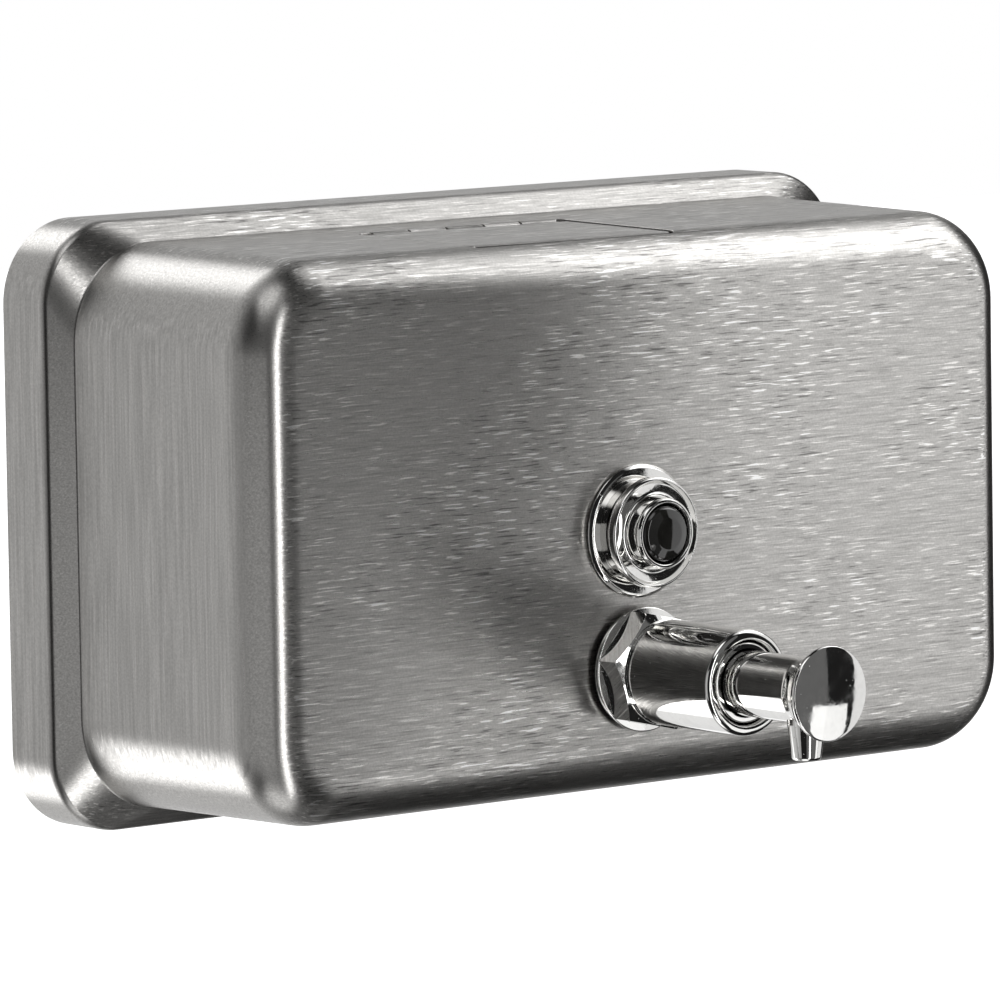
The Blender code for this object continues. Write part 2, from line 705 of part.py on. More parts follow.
def make_return_spring():
    """The coil that pushes the button back out, between its rear end and the spring seat."""
    clear = SPRING_WIRE + GAP
    points = helix(SPRING_RADIUS, SPRING_SEAT_REACH + clear, BUTTON_REAR - clear, SPRING_TURNS, COIL_SEGMENTS)
    curve = bpy.data.curves.new("return_spring", "CURVE")
    curve.dimensions = "3D"
    spline = curve.splines.new("POLY")
    spline.points.add(len(points) - 1)
    place = on_panel(VALVE_Z)
    for target, point in zip(spline.points, points):
        target.co = (*(place @ Vector(point)), 1)
    curve.bevel_depth = SPRING_WIRE
    curve.bevel_resolution = 1
    curve.use_fill_caps = True
    curve.materials.append(spring_steel())
    spring = bpy.data.objects.new("return_spring", curve)
    bpy.context.scene.collection.objects.link(spring)
    return spring


def make_push_button():
    """The rod that slides in the barrel, flaring into the round thumb disc."""
    place = on_panel(VALVE_Z)
    neck = SPOUT_REACH + 0.4 * MM
    flare = arc((BUTTON_RADIUS + 4 * MM, neck), 4 * MM, 180, 140, 3)
    rim = arc((DISC_RADIUS - 0.75 * MM, BUTTON_REACH - 0.75 * MM), 0.75 * MM, -20, 90, 4)
    socket = STEM_RADIUS + GAP
    profile = [(0, BUTTON_REACH), *reversed(rim), (DISC_RADIUS - 0.5 * MM, BUTTON_REACH - 2.2 * MM)]
    profile += [*reversed(flare), (BUTTON_RADIUS, BUTTON_REAR), (socket, BUTTON_REAR)]
    profile += [(socket, BUTTON_REAR + 4.3 * MM), (STEM_BORE, BUTTON_REAR + 4.3 * MM)]
    profile += [(STEM_BORE, SPOUT_REACH), (0, SPOUT_REACH)]
    button = turned("push_button", profile, place, chrome(), FINE)
    spout_place = upright(AXIS_X, PANEL_Y - SPOUT_REACH)
    low = VALVE_Z - 12 * MM
    cut(button, drilled("spout_socket", SPOUT_TOP_RADIUS + GAP, spout_place, low, VALVE_Z - MM, COARSE))
    return button


def make_spout():
    """The short tapered nozzle under the thumb disc, which travels with the button."""
    place = upright(AXIS_X, PANEL_Y - SPOUT_REACH)
    top = VALVE_Z - MM - GAP
    tip = VALVE_Z - SPOUT_DROP
    profile = [(1.9 * MM, tip), (SPOUT_TIP_RADIUS - 0.3 * MM, tip), (SPOUT_TIP_RADIUS, tip + 0.4 * MM)]
    profile += [(SPOUT_TOP_RADIUS, VALVE_Z - BUTTON_RADIUS), (SPOUT_TOP_RADIUS, top), (1.9 * MM, top)]
    return turned("spout_nozzle", profile, place, chrome(), MEDIUM)


def make_plunger_inside():
    """The hollow stem behind the button, with the piston, its seal and the outlet valve."""
    place = on_panel(VALVE_Z)
    stem = tube_profile(STEM_BORE, STEM_RADIUS, STEM_REAR, BUTTON_REAR + 4 * MM)
    pieces = [turned("plunger_stem", stem, place, spring_steel(), COARSE)]
    head = CYLINDER_BORE - GAP
    groove = head - PISTON_GROOVE
    rear = PISTON_REAR
    socket = STEM_RADIUS + GAP
    profile = [(PISTON_HOLE, rear), (head, rear), (head, rear + 1.5 * MM), (groove, rear + 1.5 * MM)]
    profile += [(groove, rear + 4.1 * MM), (head, rear + 4.1 * MM), (head, rear + 6.3 * MM)]
    profile += [(6 * MM, rear + 6.3 * MM), (6 * MM, rear + 8.3 * MM), (socket, rear + 8.3 * MM)]
    profile += [(socket, rear + 4 * MM), (PISTON_HOLE, rear + 4 * MM)]
    pieces.append(turned("piston", profile, place, white_plastic(), COARSE))
    seal = tube_profile(groove + GAP, head, rear + 1.8 * MM, rear + 3.8 * MM)
    pieces.append(turned("piston_seal", seal, place, rubber(), COARSE))
    base = STEM_REAR + GAP
    flap = [(1.1 * MM, base), (1.6 * MM, base), (1.6 * MM, base + MM), (0.6 * MM, base + 4 * MM)]
    flap += [(0.3 * MM, base + 4 * MM), (1.1 * MM, base + MM)]
    pieces.append(turned("outlet_valve", flap, place, rubber(), COARSE))
    return pieces


def inlet_place():
    return upright(AXIS_X, PANEL_Y - INLET_REACH)


def make_pump_cylinder():
    """The cylinder behind the panel, closed at its rear, with a chamber below for the inlet ball."""
    place = on_panel(VALVE_Z)
    socket = SHANK_RADIUS + GAP
    socket_end = SHANK_REAR - GAP
    profile = [(0, CYLINDER_REAR), (CYLINDER_RADIUS, CYLINDER_REAR), (CYLINDER_RADIUS, CYLINDER_FRONT)]
    profile += [(socket, CYLINDER_FRONT), (socket, socket_end), (CYLINDER_BORE, socket_end)]
    profile += [(CYLINDER_BORE, CYLINDER_REAR + CYLINDER_WALL), (0, CYLINDER_REAR + CYLINDER_WALL)]
    cylinder = turned("pump_cylinder", profile, place, white_plastic(), MEDIUM)
    upper = VALVE_Z - CYLINDER_BORE - 0.6 * MM
    boss = drilled("inlet_boss", BOSS_RADIUS, inlet_place(), SEAT_Z - 1.5 * MM, upper, COARSE)
    join(cylinder, boss)
    chamber_top = SEAT_Z + BALL_RISE + BALL_RADIUS + BALL_LIFT + GAP
    chamber = drilled("ball_chamber", CHAMBER_RADIUS, inlet_place(), SEAT_Z, chamber_top, COARSE)
    throat = drilled("ball_throat", THROAT_RADIUS, inlet_place(), SEAT_Z, VALVE_Z, COARSE)
    recess = drilled("seat_recess", SEAT_FLANGE + GAP, inlet_place(), SEAT_Z - 3 * MM, SEAT_Z + GAP, COARSE)
    cut(cylinder, chamber, throat, recess)


def make_inlet():
    """The seat pressed in under the ball, the ball, and the tube that reaches the tank's floor."""
    place = inlet_place()
    low = SEAT_Z - 5.5 * MM
    spigot = TUBE_BORE - GAP
    rim_low = SEAT_Z - 2.2 * MM
    rim_high = SEAT_Z - 1.8 * MM
    seat = [(SEAT_HOLE, low), (spigot, low), (spigot, rim_low), (BOSS_RADIUS, rim_low)]
    seat += [(BOSS_RADIUS, rim_high), (SEAT_FLANGE, rim_high), (SEAT_FLANGE, SEAT_Z), (SEAT_HOLE, SEAT_Z)]
    turned("inlet_seat", seat, place, white_plastic(), COARSE)
    tube = tube_profile(TUBE_BORE, TUBE_RADIUS, TUBE_END_Z, rim_low - GAP)
    turned("pickup_tube", tube, place, clear_plastic(), COARSE)


def make_inlet_ball():
    """The ball rests a hair above its seat and lifts as the button comes back out."""
    centre = SEAT_Z + BALL_RISE
    profile = arc((0, centre), BALL_RADIUS, -90, 90, COARSE // 2)
    profile[0] = (0, centre - BALL_RADIUS)
    profile[-1] = (0, centre + BALL_RADIUS)
    return turned("inlet_ball", profile, inlet_place(), spring_steel(), COARSE)


def hang_on(axis_name, axis_point, pieces):
    """Parents the pieces of one moving body to an empty on their joint's axis."""
    axis = bpy.data.objects.new(axis_name, None)
    axis.location = axis_point
    bpy.context.scene.collection.objects.link(axis)
    for piece in pieces:
        piece.parent = axis
        piece.location = -Vector(axis_point)


def main():
    clear_scene()
    make_tank_shell()
    make_tank_back()
    make_hanger_rail()
    make_wall_plate()
    make_wall_screws()
    make_locking_screw()
    make_filler_frame()
    make_hinge_pin()
    make_gauge()
    make_valve_body()
    make_valve_fittings()
    make_return_spring()
    make_pump_cylinder()
    make_inlet()
    lid_pieces = [make_filler_lid(), make_lid_catch()]
    hang_on("lid_axis", (0, HINGE_Y, HINGE_Z), lid_pieces)
    button_pieces = [make_push_button(), make_spout(), *make_plunger_inside()]
    hang_on("button_axis", (AXIS_X, PANEL_Y, VALVE_Z), button_pieces)
    hang_on("ball_axis", (AXIS_X, PANEL_Y - INLET_REACH, SEAT_Z), [make_inlet_ball()])


main()
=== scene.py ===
"""Looks of the wall mounted soap dispenser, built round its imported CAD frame.

Frame: origin at the centre of the wall face, +X to the right seen from the front, -Y out of the wall,
+Z up, in metres. What stands on the front panel is described by its reach: the distance in front of it.
"""

import json
import math

import bmesh
import bpy
from mathutils import Matrix, Vector


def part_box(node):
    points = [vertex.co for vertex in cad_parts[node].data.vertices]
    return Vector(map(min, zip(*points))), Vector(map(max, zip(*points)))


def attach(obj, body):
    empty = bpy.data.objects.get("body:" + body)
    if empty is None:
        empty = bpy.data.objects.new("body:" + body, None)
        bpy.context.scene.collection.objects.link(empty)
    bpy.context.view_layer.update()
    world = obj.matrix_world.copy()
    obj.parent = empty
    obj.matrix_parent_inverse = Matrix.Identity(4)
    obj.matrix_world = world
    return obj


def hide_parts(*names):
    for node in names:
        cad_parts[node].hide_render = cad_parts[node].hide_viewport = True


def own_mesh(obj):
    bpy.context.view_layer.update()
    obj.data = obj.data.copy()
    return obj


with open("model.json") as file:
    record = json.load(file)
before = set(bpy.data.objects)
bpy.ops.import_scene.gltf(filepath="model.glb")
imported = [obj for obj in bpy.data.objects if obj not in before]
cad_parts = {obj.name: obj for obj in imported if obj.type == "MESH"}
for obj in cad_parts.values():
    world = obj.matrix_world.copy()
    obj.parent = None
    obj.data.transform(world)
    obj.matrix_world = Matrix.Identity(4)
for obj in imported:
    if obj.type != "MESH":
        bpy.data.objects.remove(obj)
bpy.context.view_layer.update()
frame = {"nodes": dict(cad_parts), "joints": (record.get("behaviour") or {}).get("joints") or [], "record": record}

MM = 0.001
GAP = 0.3 * MM
RECORD = frame["record"]
BODY_OF = {node: body for body, nodes in RECORD["behaviour"]["bodies"].items() for node in nodes}
SLOT_OF = {part["node"]: part["material_slot"] for part in RECORD["subparts"]}

# Pressed shell: the outside comes from the frame, the radii are the pressing tool's
SHELL_LOW, SHELL_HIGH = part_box("tank_shell")
HALF_WIDTH = SHELL_HIGH.x
HALF_HEIGHT = SHELL_HIGH.z
PANEL_Y = SHELL_LOW.y
DEPTH = -PANEL_Y
SHEET = 0.8 * MM
FLANGE_DEPTH = 13 * MM
FLANGE_CORNER = 16.4 * MM
STEP = 4.5 * MM
STEP_SLOPE = math.radians(45)
SHOULDER_RADIUS = 3 * MM
COVE_RADIUS = 1 * MM
BODY_REAR = FLANGE_DEPTH + STEP / math.tan(STEP_SLOPE)
BODY_CORNER = 19.2 * MM
FRONT_RADIUS = 10 * MM
TAPER = math.tan(math.radians(1.0)) * (DEPTH - FRONT_RADIUS - BODY_REAR)
CORNER_STEPS = 20
FOLD_STEPS = 8
FRONT_STEPS = 16
SHEET_EDGE = 0.15 * MM
HOLE_CUT = 5 * MM  # how far a hole's cutter reaches on either side of the sheet
BLANK_LOW = HALF_HEIGHT - 20 * MM
BLANK_HIGH = HALF_HEIGHT + 10 * MM
BLANK_STEPS = 8

# Lid
LID_LOW, LID_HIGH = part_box("filler_lid")
HINGE = Vector(next(joint["pos_m"] for joint in frame["joints"] if joint["name"] == "lid_hinge"))
LID_SEAM = 0.5 * MM
LEFT_SEAM = 0.15 * MM
RIGHT_TRIM = 0.5 * MM
RIGHT_SINK = 0.25 * MM
LID_CORNER = 1.6 * MM
LID_EDGE = 0.2 * MM
LID_REAR = HINGE.y - 0.6 * MM  # where the lid's sheet ends, inside its knuckles
NOTCH_LOW = HALF_HEIGHT - 10 * MM
NOTCH_PAST = 2 * MM
KNUCKLE_RADIUS = 1.5 * MM
KNUCKLE_COUNT = 5
PIN_LOW, PIN_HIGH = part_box("hinge_pin")
PIN_RADIUS = (PIN_HIGH.z - PIN_LOW.z) / 2
PIN_EDGE = 0.2 * MM

# Gauge and valve
BEZEL_LOW, BEZEL_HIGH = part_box("gauge_bezel")
BUTTON_LOW, BUTTON_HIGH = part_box("push_button")
BARREL_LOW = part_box("valve_body")[0]
AXIS_X = (BUTTON_LOW.x + BUTTON_HIGH.x) / 2
GAUGE_Z = (BEZEL_LOW.z + BEZEL_HIGH.z) / 2
VALVE_Z = (BUTTON_LOW.z + BUTTON_HIGH.z) / 2
BUTTON_REACH = PANEL_Y - BUTTON_LOW.y
BARREL_REACH = PANEL_Y - BARREL_LOW.y
SHANK_RADIUS = 9 * MM
DISC_RADIUS = (BUTTON_HIGH.z - BUTTON_LOW.z) / 2
HEX_FLATS = 21.5 * MM
HEX_TURN = math.radians(-13)
CHAMFER_ANGLE = math.radians(30)
CHAMFER_INSIDE = 0.25 * MM  # how far inside the flats a chamfer's circle runs on a hexagon's end
CHAMFER_SHARP = 28
CHAMFER_EDGE = 0.2 * MM

# Outlines of the gauge: (radius, reach, fillet) corners in millimetres
WASHER_OUTLINE = ((9.3, 0.3, 0), (13.1, 0.3, 0.2), (13.3, 0.8, 0.2), (12.6, 1.4, 0.5), (9.3, 1.4, 0))
BEZEL_OUTLINE = (
    (5.8, -9, 0), (9, -9, 0.2), (9, 1.6, 0.3), (9.9, 2.6, 0.3), (10.3, 3.9, 0.15),
    (11.0, 4.2, 0.3), (11.0, 5.9, 0.5), (10.4, 6.1, 0.25), (9.8, 5.2, 0.3), (7.6, 5.0, 0.7),
    (6.9, 7.6, 0.3), (7.1, 8.4, 0.25), (6.8, 9.0, 0.25), (6.2, 9.0, 0.25), (5.8, 8.4, 0),
)
LENS_OUTLINE = (
    (0, -8.6, 0), (5.5, -8.6, 0.3), (5.5, 8.6, 0.3), (5.0, 9.2, 0.8), (3.2, 9.75, 2.0), (0, 9.9, 0),
)

# Radii and reaches of the valve in millimetres
SHANK_BORE = 7
SHANK_REAR = -14
BORE_REAR = -12
SEAT_REAR = 1.2
SEAT_FRONT = 2.1
HEX_ROOT = 11
HEX_REAR = 2.2
HEX_FRONT = 8
NECK_RADIUS = 10
BARREL_RADIUS = 10.5
BARREL_BORE = 8.2
BUSHING_BORE = 6.8
BUSHING_RADIUS = 7.9
BUSHING_REAR = 22
BUSHING_RECESS = 0.6

# Radii and reaches of the button in millimetres
ROD_RADIUS = 6.5
ROD_REAR = 17
FLARE_RADIUS = 7.6
DISC_RIM = 0.8
DISC_CROWN = 0.55
DOME_STEPS = 8
SOCKET_RADIUS = 4.3
SOCKET_FRONT = 21.3
CHANNEL_RADIUS = 2
CHANNEL_FRONT = 50
SPOUT_BORE = 1.9
SPOUT_TIP_RADIUS = 2.9
SPOUT_RADIUS = 3.75
SPOUT_TAPER = 7
BUTTON_EDGE = 0.1 * MM

# Spring
SPRING_WIRE = 0.45 * MM
SPRING_TURNS = 8
COIL_STEPS = 40

# Wall side
BACK_CORNER = 17 * MM
PLATE_CORNER = 5 * MM
PLATE_CORNER_STEPS = 10
PLATE_CUT = 3 * MM
SCREW_HOLE = 2.5 * MM
SCREW_COUNT = 4
SCREW_ANGLE = 37  # degrees that each screw's slot is turned past the last
SMALL_EDGE = 0.12 * MM
FINE_EDGE = 0.08 * MM

# Sections of the sheet pieces and outlines of the fasteners, in millimetres
PLATE_SHEET = 1.5
LIP_HEIGHT = 6
LIP_REACH = 7.5
RAIL_SHEET = 1.2
WELD_COUNT = 5
WELD_SPREAD = 2.4
WELD_ABOVE_FOOT = 5
WELD_OUTLINE = ((0, -1.5, 0), (2.0, -1.5, 0), (1.5, -1.05, 0.1), (0, -0.9, 0))
SCREW_RADIUS = 2.2
SCREW_HEAD = 2.4
SLOT_HALF_LENGTH = 6
SLOT_HALF_WIDTH = 0.5
SLOT_DEPTH = 1.1
LOCK_PITCH = 0.8
LOCK_THREAD = 0.4
KEY_RADIUS = 1.45
KEY_DEPTH = 3
CATCH_SHEET = 0.5
NUT_PITCH = 1.0
NUT_THREAD = 0.5
SEAM = 0.01  # a ring's outline ends this far past its start, both in the bore

# Mesh fineness
TURN_STEPS = 96
SCREW_STEPS = 48
PIN_STEPS = 32
FILLET_STEPS = 6
ON_AXIS = 1e-9
SIXTH = math.radians(60)
WALL_AXIS = Matrix.Rotation(math.radians(90), 4, "X")

# Camera, at the photograph's side of the object
CAMERA_AIM = Vector((-10.24, -40, 1.21)) * MM
CAMERA_DISTANCE = 1784.4 * MM
CAMERA_YAW = math.radians(39.198)
CAMERA_PITCH = math.radians(5.969)
CAMERA_ROLL = math.radians(-0.878)
CAMERA_LENS = 320.83
CAMERA_SENSOR = 36.0
CAMERA_CLIP = (0.05, 100)

FLOOR_HALF = 12
FLOOR_HEIGHT = -1.1
FLOOR_COLOUR = (0.9, 0.9, 0.9)


# ---------------------------------------------------------------- mesh tools


def finish(bm, name, sharp=35):
    """Turns a bmesh into an object; edges sharper than that many degrees stay crisp."""
    bmesh.ops.recalc_face_normals(bm, faces=bm.faces)
    mesh = bpy.data.meshes.new(name)
    bm.to_mesh(mesh)
    bm.free()
    mesh.shade_smooth()
    mesh.set_sharp_from_angle(angle=math.radians(sharp))
    obj = bpy.data.objects.new(name, mesh)
    bpy.context.scene.collection.objects.link(obj)
    return obj


def fill_between(bm, first, second):
    """Faces between two rings of vertices, where a ring of one vertex is a pole."""
    count = max(len(first), len(second))
    for i in range(count):
        j = (i + 1) % count
        corners = [first[i % len(first)], first[j % len(first)]]
        corners += [second[j % len(second)], second[i % len(second)]]
        bm.faces.new(list(dict.fromkeys(corners)))


def fillet(corners):
    """(radius, height) points of an outline given as (radius, height, fillet) corners."""
    points = []
    for i, (radius, height, rounding) in enumerate(corners):
        here = Vector((radius, height))
        if rounding == 0 or i in (0, len(corners) - 1):
            points.append(here)
            continue
        back = (Vector(corners[i - 1][:2]) - here).normalized()
        ahead = (Vector(corners[i + 1][:2]) - here).normalized()
        half = back.angle(ahead) / 2
        centre = here + (back + ahead).normalized() * (rounding / math.sin(half))
        start = here + back * (rounding / math.tan(half)) - centre
        end = here + ahead * (rounding / math.tan(half)) - centre
        first = math.atan2(start.y, start.x)
        sweep = math.remainder(math.atan2(end.y, end.x) - first, 2 * math.pi)
        for k in range(FILLET_STEPS + 1):
            angle = first + sweep * k / FILLET_STEPS
            points.append(centre + Vector((math.cos(angle), math.sin(angle))) * rounding)
    return points


def in_mm(corners):
    """Corners given in millimetres, in metres."""
    return [tuple(value * MM for value in corner) for corner in corners]


def polar(radius, angle, height=0.0):
    return Vector((radius * math.cos(angle), radius * math.sin(angle), height))


def turned(name, corners, place, steps=TURN_STEPS):
    """A body turned from (radius, height, fillet) corners, or a ring where they keep off the axis."""
    bm = bmesh.new()
    rings = []
    for radius, height in fillet(corners):
        count = steps if radius > ON_AXIS else 1
        angles = [2 * math.pi * i / count for i in range(count)]
        rings.append([bm.verts.new(place @ polar(radius, angle, height)) for angle in angles])
    pairs = list(zip(rings, rings[1:]))
    if len(rings[0]) > 1 and len(rings[-1]) > 1:
        pairs.append((rings[-1], rings[0]))
    for first, second in pairs:
        fill_between(bm, first, second)
    return finish(bm, name)


def on_panel(z):
    """The place of a piece square to the panel: its height is its reach in front of the panel."""
    return Matrix.Translation((AXIS_X, PANEL_Y, z)) @ WALL_AXIS


def out_of_wall(node_name):
    """The place of a piece round the line out of the wall through the middle of a CAD node."""
    low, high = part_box(node_name)
    return Matrix.Translation(((low.x + high.x) / 2, 0, (low.z + high.z) / 2)) @ WALL_AXIS


def upright(node_name):
    """The place of a piece round the upright line through the middle of a CAD node."""
    low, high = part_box(node_name)
    return Matrix.Translation(((low.x + high.x) / 2, (low.y + high.y) / 2, 0))


def along_hinge():
    return Matrix.Translation((0, HINGE.y, HINGE.z)) @ Matrix.Rotation(math.radians(90), 4, "Y")


def cylinder(name, radius, low, high, place, steps=TURN_STEPS):
    return turned(name, [(0, low, 0), (radius, low, 0), (radius, high, 0), (0, high, 0)], place, steps)


def prism(name, outline, low, high, place):
    """A closed block with an (x, y) outline between two heights."""
    bm = bmesh.new()
    ends = [[bm.verts.new(place @ Vector((x, y, height))) for x, y in outline] for height in (low, high)]
    fill_between(bm, ends[0], ends[1])
    bm.faces.new(ends[0])
    bm.faces.new(ends[1])
    return finish(bm, name)


def apply_modifiers(obj):
    """Bakes an object's modifiers into its mesh."""
    graph = bpy.context.evaluated_depsgraph_get()
    graph.update()
    mesh = bpy.data.meshes.new_from_object(obj.evaluated_get(graph))
    obj.modifiers.clear()
    obj.data = mesh
    return obj


def combine(obj, operation, others):
    """Booleans an object with others, which are used up."""
    for other in others:
        modifier = obj.modifiers.new(other.name, "BOOLEAN")
        modifier.operation = operation
        modifier.solver = "EXACT"
        modifier.object = other
    bpy.context.view_layer.update()
    apply_modifiers(obj)
    for other in others:
        bpy.data.objects.remove(other)
    return obj


def soften(obj, width, limit=40, segments=3):
    """Rounds the crisp edges a little and keeps flat faces flat in shading."""
    bevel = obj.modifiers.new("edge rounding", "BEVEL")
    bevel.width = width
    bevel.segments = segments
    bevel.limit_method = "ANGLE"
    bevel.angle_limit = math.radians(limit)
    bevel.use_clamp_overlap = True
    even = obj.modifiers.new("even shading", "WEIGHTED_NORMAL")
    even.keep_sharp = True
    obj.data.shade_smooth()
    return obj


def stand_in(piece, node, material):
    """The piece takes a CAD node's place: its body and what is shown of it."""
    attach(piece, BODY_OF[node])
    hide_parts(node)
    piece.data.materials.clear()
    piece.data.materials.append(material)
    return piece


# ---------------------------------------------------------------- pressed shell and lid


def rounded_rectangle(half_width, half_height, radius, steps=CORNER_STEPS):
    points = []
    for quarter, (sx, sz) in enumerate(((1, 1), (-1, 1), (-1, -1), (1, -1))):
        for i in range(steps + 1):
            angle = math.radians(90 * quarter + 90 * i / steps)
            x = sx * (half_width - radius) + radius * math.cos(angle)
            z = sz * (half_height - radius) + radius * math.sin(angle)
            points.append((x, z))
    return points


def bend(centre, radius, start, end, steps):
    """(inset, y) points round a bend of the sheet, angles from square to the side towards the panel."""
    points = []
    for i in range(steps + 1):
        turn = start + (end - start) * i / steps
        points.append((centre[0] + radius * math.cos(turn), centre[1] + radius * math.sin(turn)))
    return points


def pressing_sections(depth):
    """(inset, y, in the flange or not) along the pressing's side, this deep below its outer surface."""
    shoulder_centre = (SHOULDER_RADIUS, -FLANGE_DEPTH + SHOULDER_RADIUS * math.tan(STEP_SLOPE / 2))
    cove_centre = (STEP - COVE_RADIUS, -BODY_REAR - COVE_RADIUS * math.tan(STEP_SLOPE / 2))
    front_centre = (STEP + TAPER + FRONT_RADIUS, -(DEPTH - FRONT_RADIUS))
    shoulder = bend(shoulder_centre, SHOULDER_RADIUS - depth, math.pi, math.pi + STEP_SLOPE, FOLD_STEPS)
    cove = bend(cove_centre, COVE_RADIUS + depth, STEP_SLOPE, 0, FOLD_STEPS)
    front = bend(front_centre, FRONT_RADIUS - depth, math.pi, 1.5 * math.pi, FRONT_STEPS)
    front.append((front[-1][0] + MM, front[-1][1]))
    flange = [(depth, 0.0), *shoulder]
    return [(*point, True) for point in flange] + [(*point, False) for point in cove + front]


def pressed_layer(name, outer_depth, inner_depth):
    """The box-shaped pressing between two depths below its outer surface, open at the wall."""
    bm = bmesh.new()
    skins = []
    for depth in (outer_depth, inner_depth):
        skin = []
        for inset, y, in_flange in pressing_sections(depth):
            corner = FLANGE_CORNER - inset if in_flange else BODY_CORNER + STEP - inset
            outline = rounded_rectangle(HALF_WIDTH - inset, HALF_HEIGHT - inset, corner)
            skin.append([bm.verts.new((x, y, z)) for x, z in outline])
        for first, second in zip(skin, skin[1:]):
            fill_between(bm, first, second)
        bm.faces.new(skin[-1])
        skins.append(skin)
    fill_between(bm, skins[0][0], skins[1][0])
    return finish(bm, name)


def blank(name, left, right, front, rear, corner):
    """A tall block with rounded upright edges, which trims the pressing to an outline seen from above."""
    centre = Matrix.Translation(((left + right) / 2, (front + rear) / 2, 0))
    outline = rounded_rectangle((right - left) / 2, (rear - front) / 2, corner, BLANK_STEPS)
    return prism(name, outline, BLANK_LOW, BLANK_HIGH, centre)


def make_shell(material):
    """The tank's pressing with its filler mouth and the holes for the gauge and the valve."""
    shell = pressed_layer("shell_pressing", 0, SHEET)
    left = LID_LOW.x - LEFT_SEAM
    right = LID_HIGH.x + LID_SEAM
    front = LID_LOW.y - LID_SEAM
    rear = HINGE.y + KNUCKLE_RADIUS + GAP
    cutters = [blank("mouth", left, right, front, rear, LID_CORNER + LID_SEAM)]
    for z in (GAUGE_Z, VALVE_Z):
        cutters.append(cylinder("panel_hole", SHANK_RADIUS + GAP, -HOLE_CUT, HOLE_CUT, on_panel(z)))
    combine(shell, "DIFFERENCE", cutters)
    stand_in(soften(shell, SHEET_EDGE), "tank_shell", material)


def knuckle_spans():
    """(left, right) of the lid's own hinge knuckles: the first, the third and the fifth."""
    left = PIN_LOW.x - GAP
    pitch = (PIN_HIGH.x + GAP - left) / KNUCKLE_COUNT
    return [(left + pitch * i + GAP, left + pitch * (i + 1) - GAP) for i in range(0, KNUCKLE_COUNT, 2)]


def sunk_to_the_right():
    """Tilts the lid so that its left edge is flush with the shell and its right edge just below it."""
    slope = RIGHT_SINK / (LID_HIGH.x - LID_LOW.x)
    return Matrix(((1, 0, 0, 0), (0, 1, 0, 0), (-slope, 0, 1, slope * LID_LOW.x), (0, 0, 0, 1)))


def hinge_notches(spans):
    """Blocks that cut the lid's rear edge back between and beside its knuckles."""
    rear = HINGE.y - KNUCKLE_RADIUS - GAP
    edges = [LID_LOW.x - NOTCH_PAST, *[x for span in spans for x in span], LID_HIGH.x + NOTCH_PAST]
    notches = []
    for left, right in zip(edges[::2], edges[1::2]):
        outline = [(left, rear), (right, rear), (right, 0), (left, 0)]
        notches.append(prism("notch", outline, NOTCH_LOW, HALF_HEIGHT, Matrix.Identity(4)))
    return notches


def make_lid(material):
    """The filler lid: a piece of the same pressing, rolled into knuckles round the hinge pin."""
    lid = pressed_layer("lid_pressing", 0, SHEET)
    lid.data.transform(sunk_to_the_right())
    right = LID_HIGH.x - RIGHT_TRIM
    combine(lid, "INTERSECT", [blank("lid_outline", LID_LOW.x, right, LID_LOW.y, LID_REAR, LID_CORNER)])
    spans = knuckle_spans()
    combine(lid, "DIFFERENCE", hinge_notches(spans))
    place = along_hinge()
    knuckles = [cylinder("knuckle", KNUCKLE_RADIUS, *span, place, PIN_STEPS) for span in spans]
    combine(lid, "UNION", knuckles)
    bore = cylinder("bore", PIN_RADIUS + GAP, LID_LOW.x, LID_HIGH.x, place, PIN_STEPS)
    combine(lid, "DIFFERENCE", [bore])
    stand_in(soften(lid, LID_EDGE), "filler_lid", material)


# ---------------------------------------------------------------- gauge


def make_gauge(chrome, lens_material):
    """The sight gauge: a washer, a stepped bezel and a domed window."""
    place = on_panel(GAUGE_Z)
    stand_in(turned("gauge_escutcheon", in_mm(WASHER_OUTLINE), place), "gauge_washer", chrome)
    stand_in(turned("gauge_housing", in_mm(BEZEL_OUTLINE), place), "gauge_bezel", chrome)
    stand_in(turned("gauge_window", in_mm(LENS_OUTLINE), place), "gauge_lens", lens_material)


# ---------------------------------------------------------------- valve


def hexagon_rows(flats, low, high, both_ends=False):
    """Rows (angle to radius and height) up a hexagon whose corners are turned off in a cone at its ends."""
    face = flats / 2 - CHAMFER_INSIDE
    slope = math.tan(CHAMFER_ANGLE)

    def reach(angle):
        off_flat = math.remainder(angle - SIXTH / 2, SIXTH)
        return flats / 2 / math.cos(off_flat)

    def chamfer(angle):
        return (reach(angle) - face) * slope

    rows = [lambda angle: (reach(angle), low)]
    if both_ends:
        rows = [lambda angle: (face, low), lambda angle: (reach(angle), low + chamfer(angle))]
    return [*rows, lambda angle: (reach(angle), high - chamfer(angle)), lambda angle: (face, high)]


def round_rows(corners):
    """Rows that are the same all the way round, from (radius, height, fillet) corners in millimetres."""
    return [lambda angle, point=point: point for point in fillet(in_mm(corners))]


def lathe(name, rows, place, sharp=35):
    """A closed ring whose rows give the radius and height for an angle."""
    bm = bmesh.new()
    angles = [2 * math.pi * i / TURN_STEPS for i in range(TURN_STEPS)]
    rings = []
    for row in rows:
        ring = []
        for angle in angles:
            radius, height = row(angle)
            ring.append(bm.verts.new(place @ polar(radius, angle, height)))
        rings.append(ring)
    for first, second in zip(rings, rings[1:] + rings[:1]):
        fill_between(bm, first, second)
    return finish(bm, name, sharp)


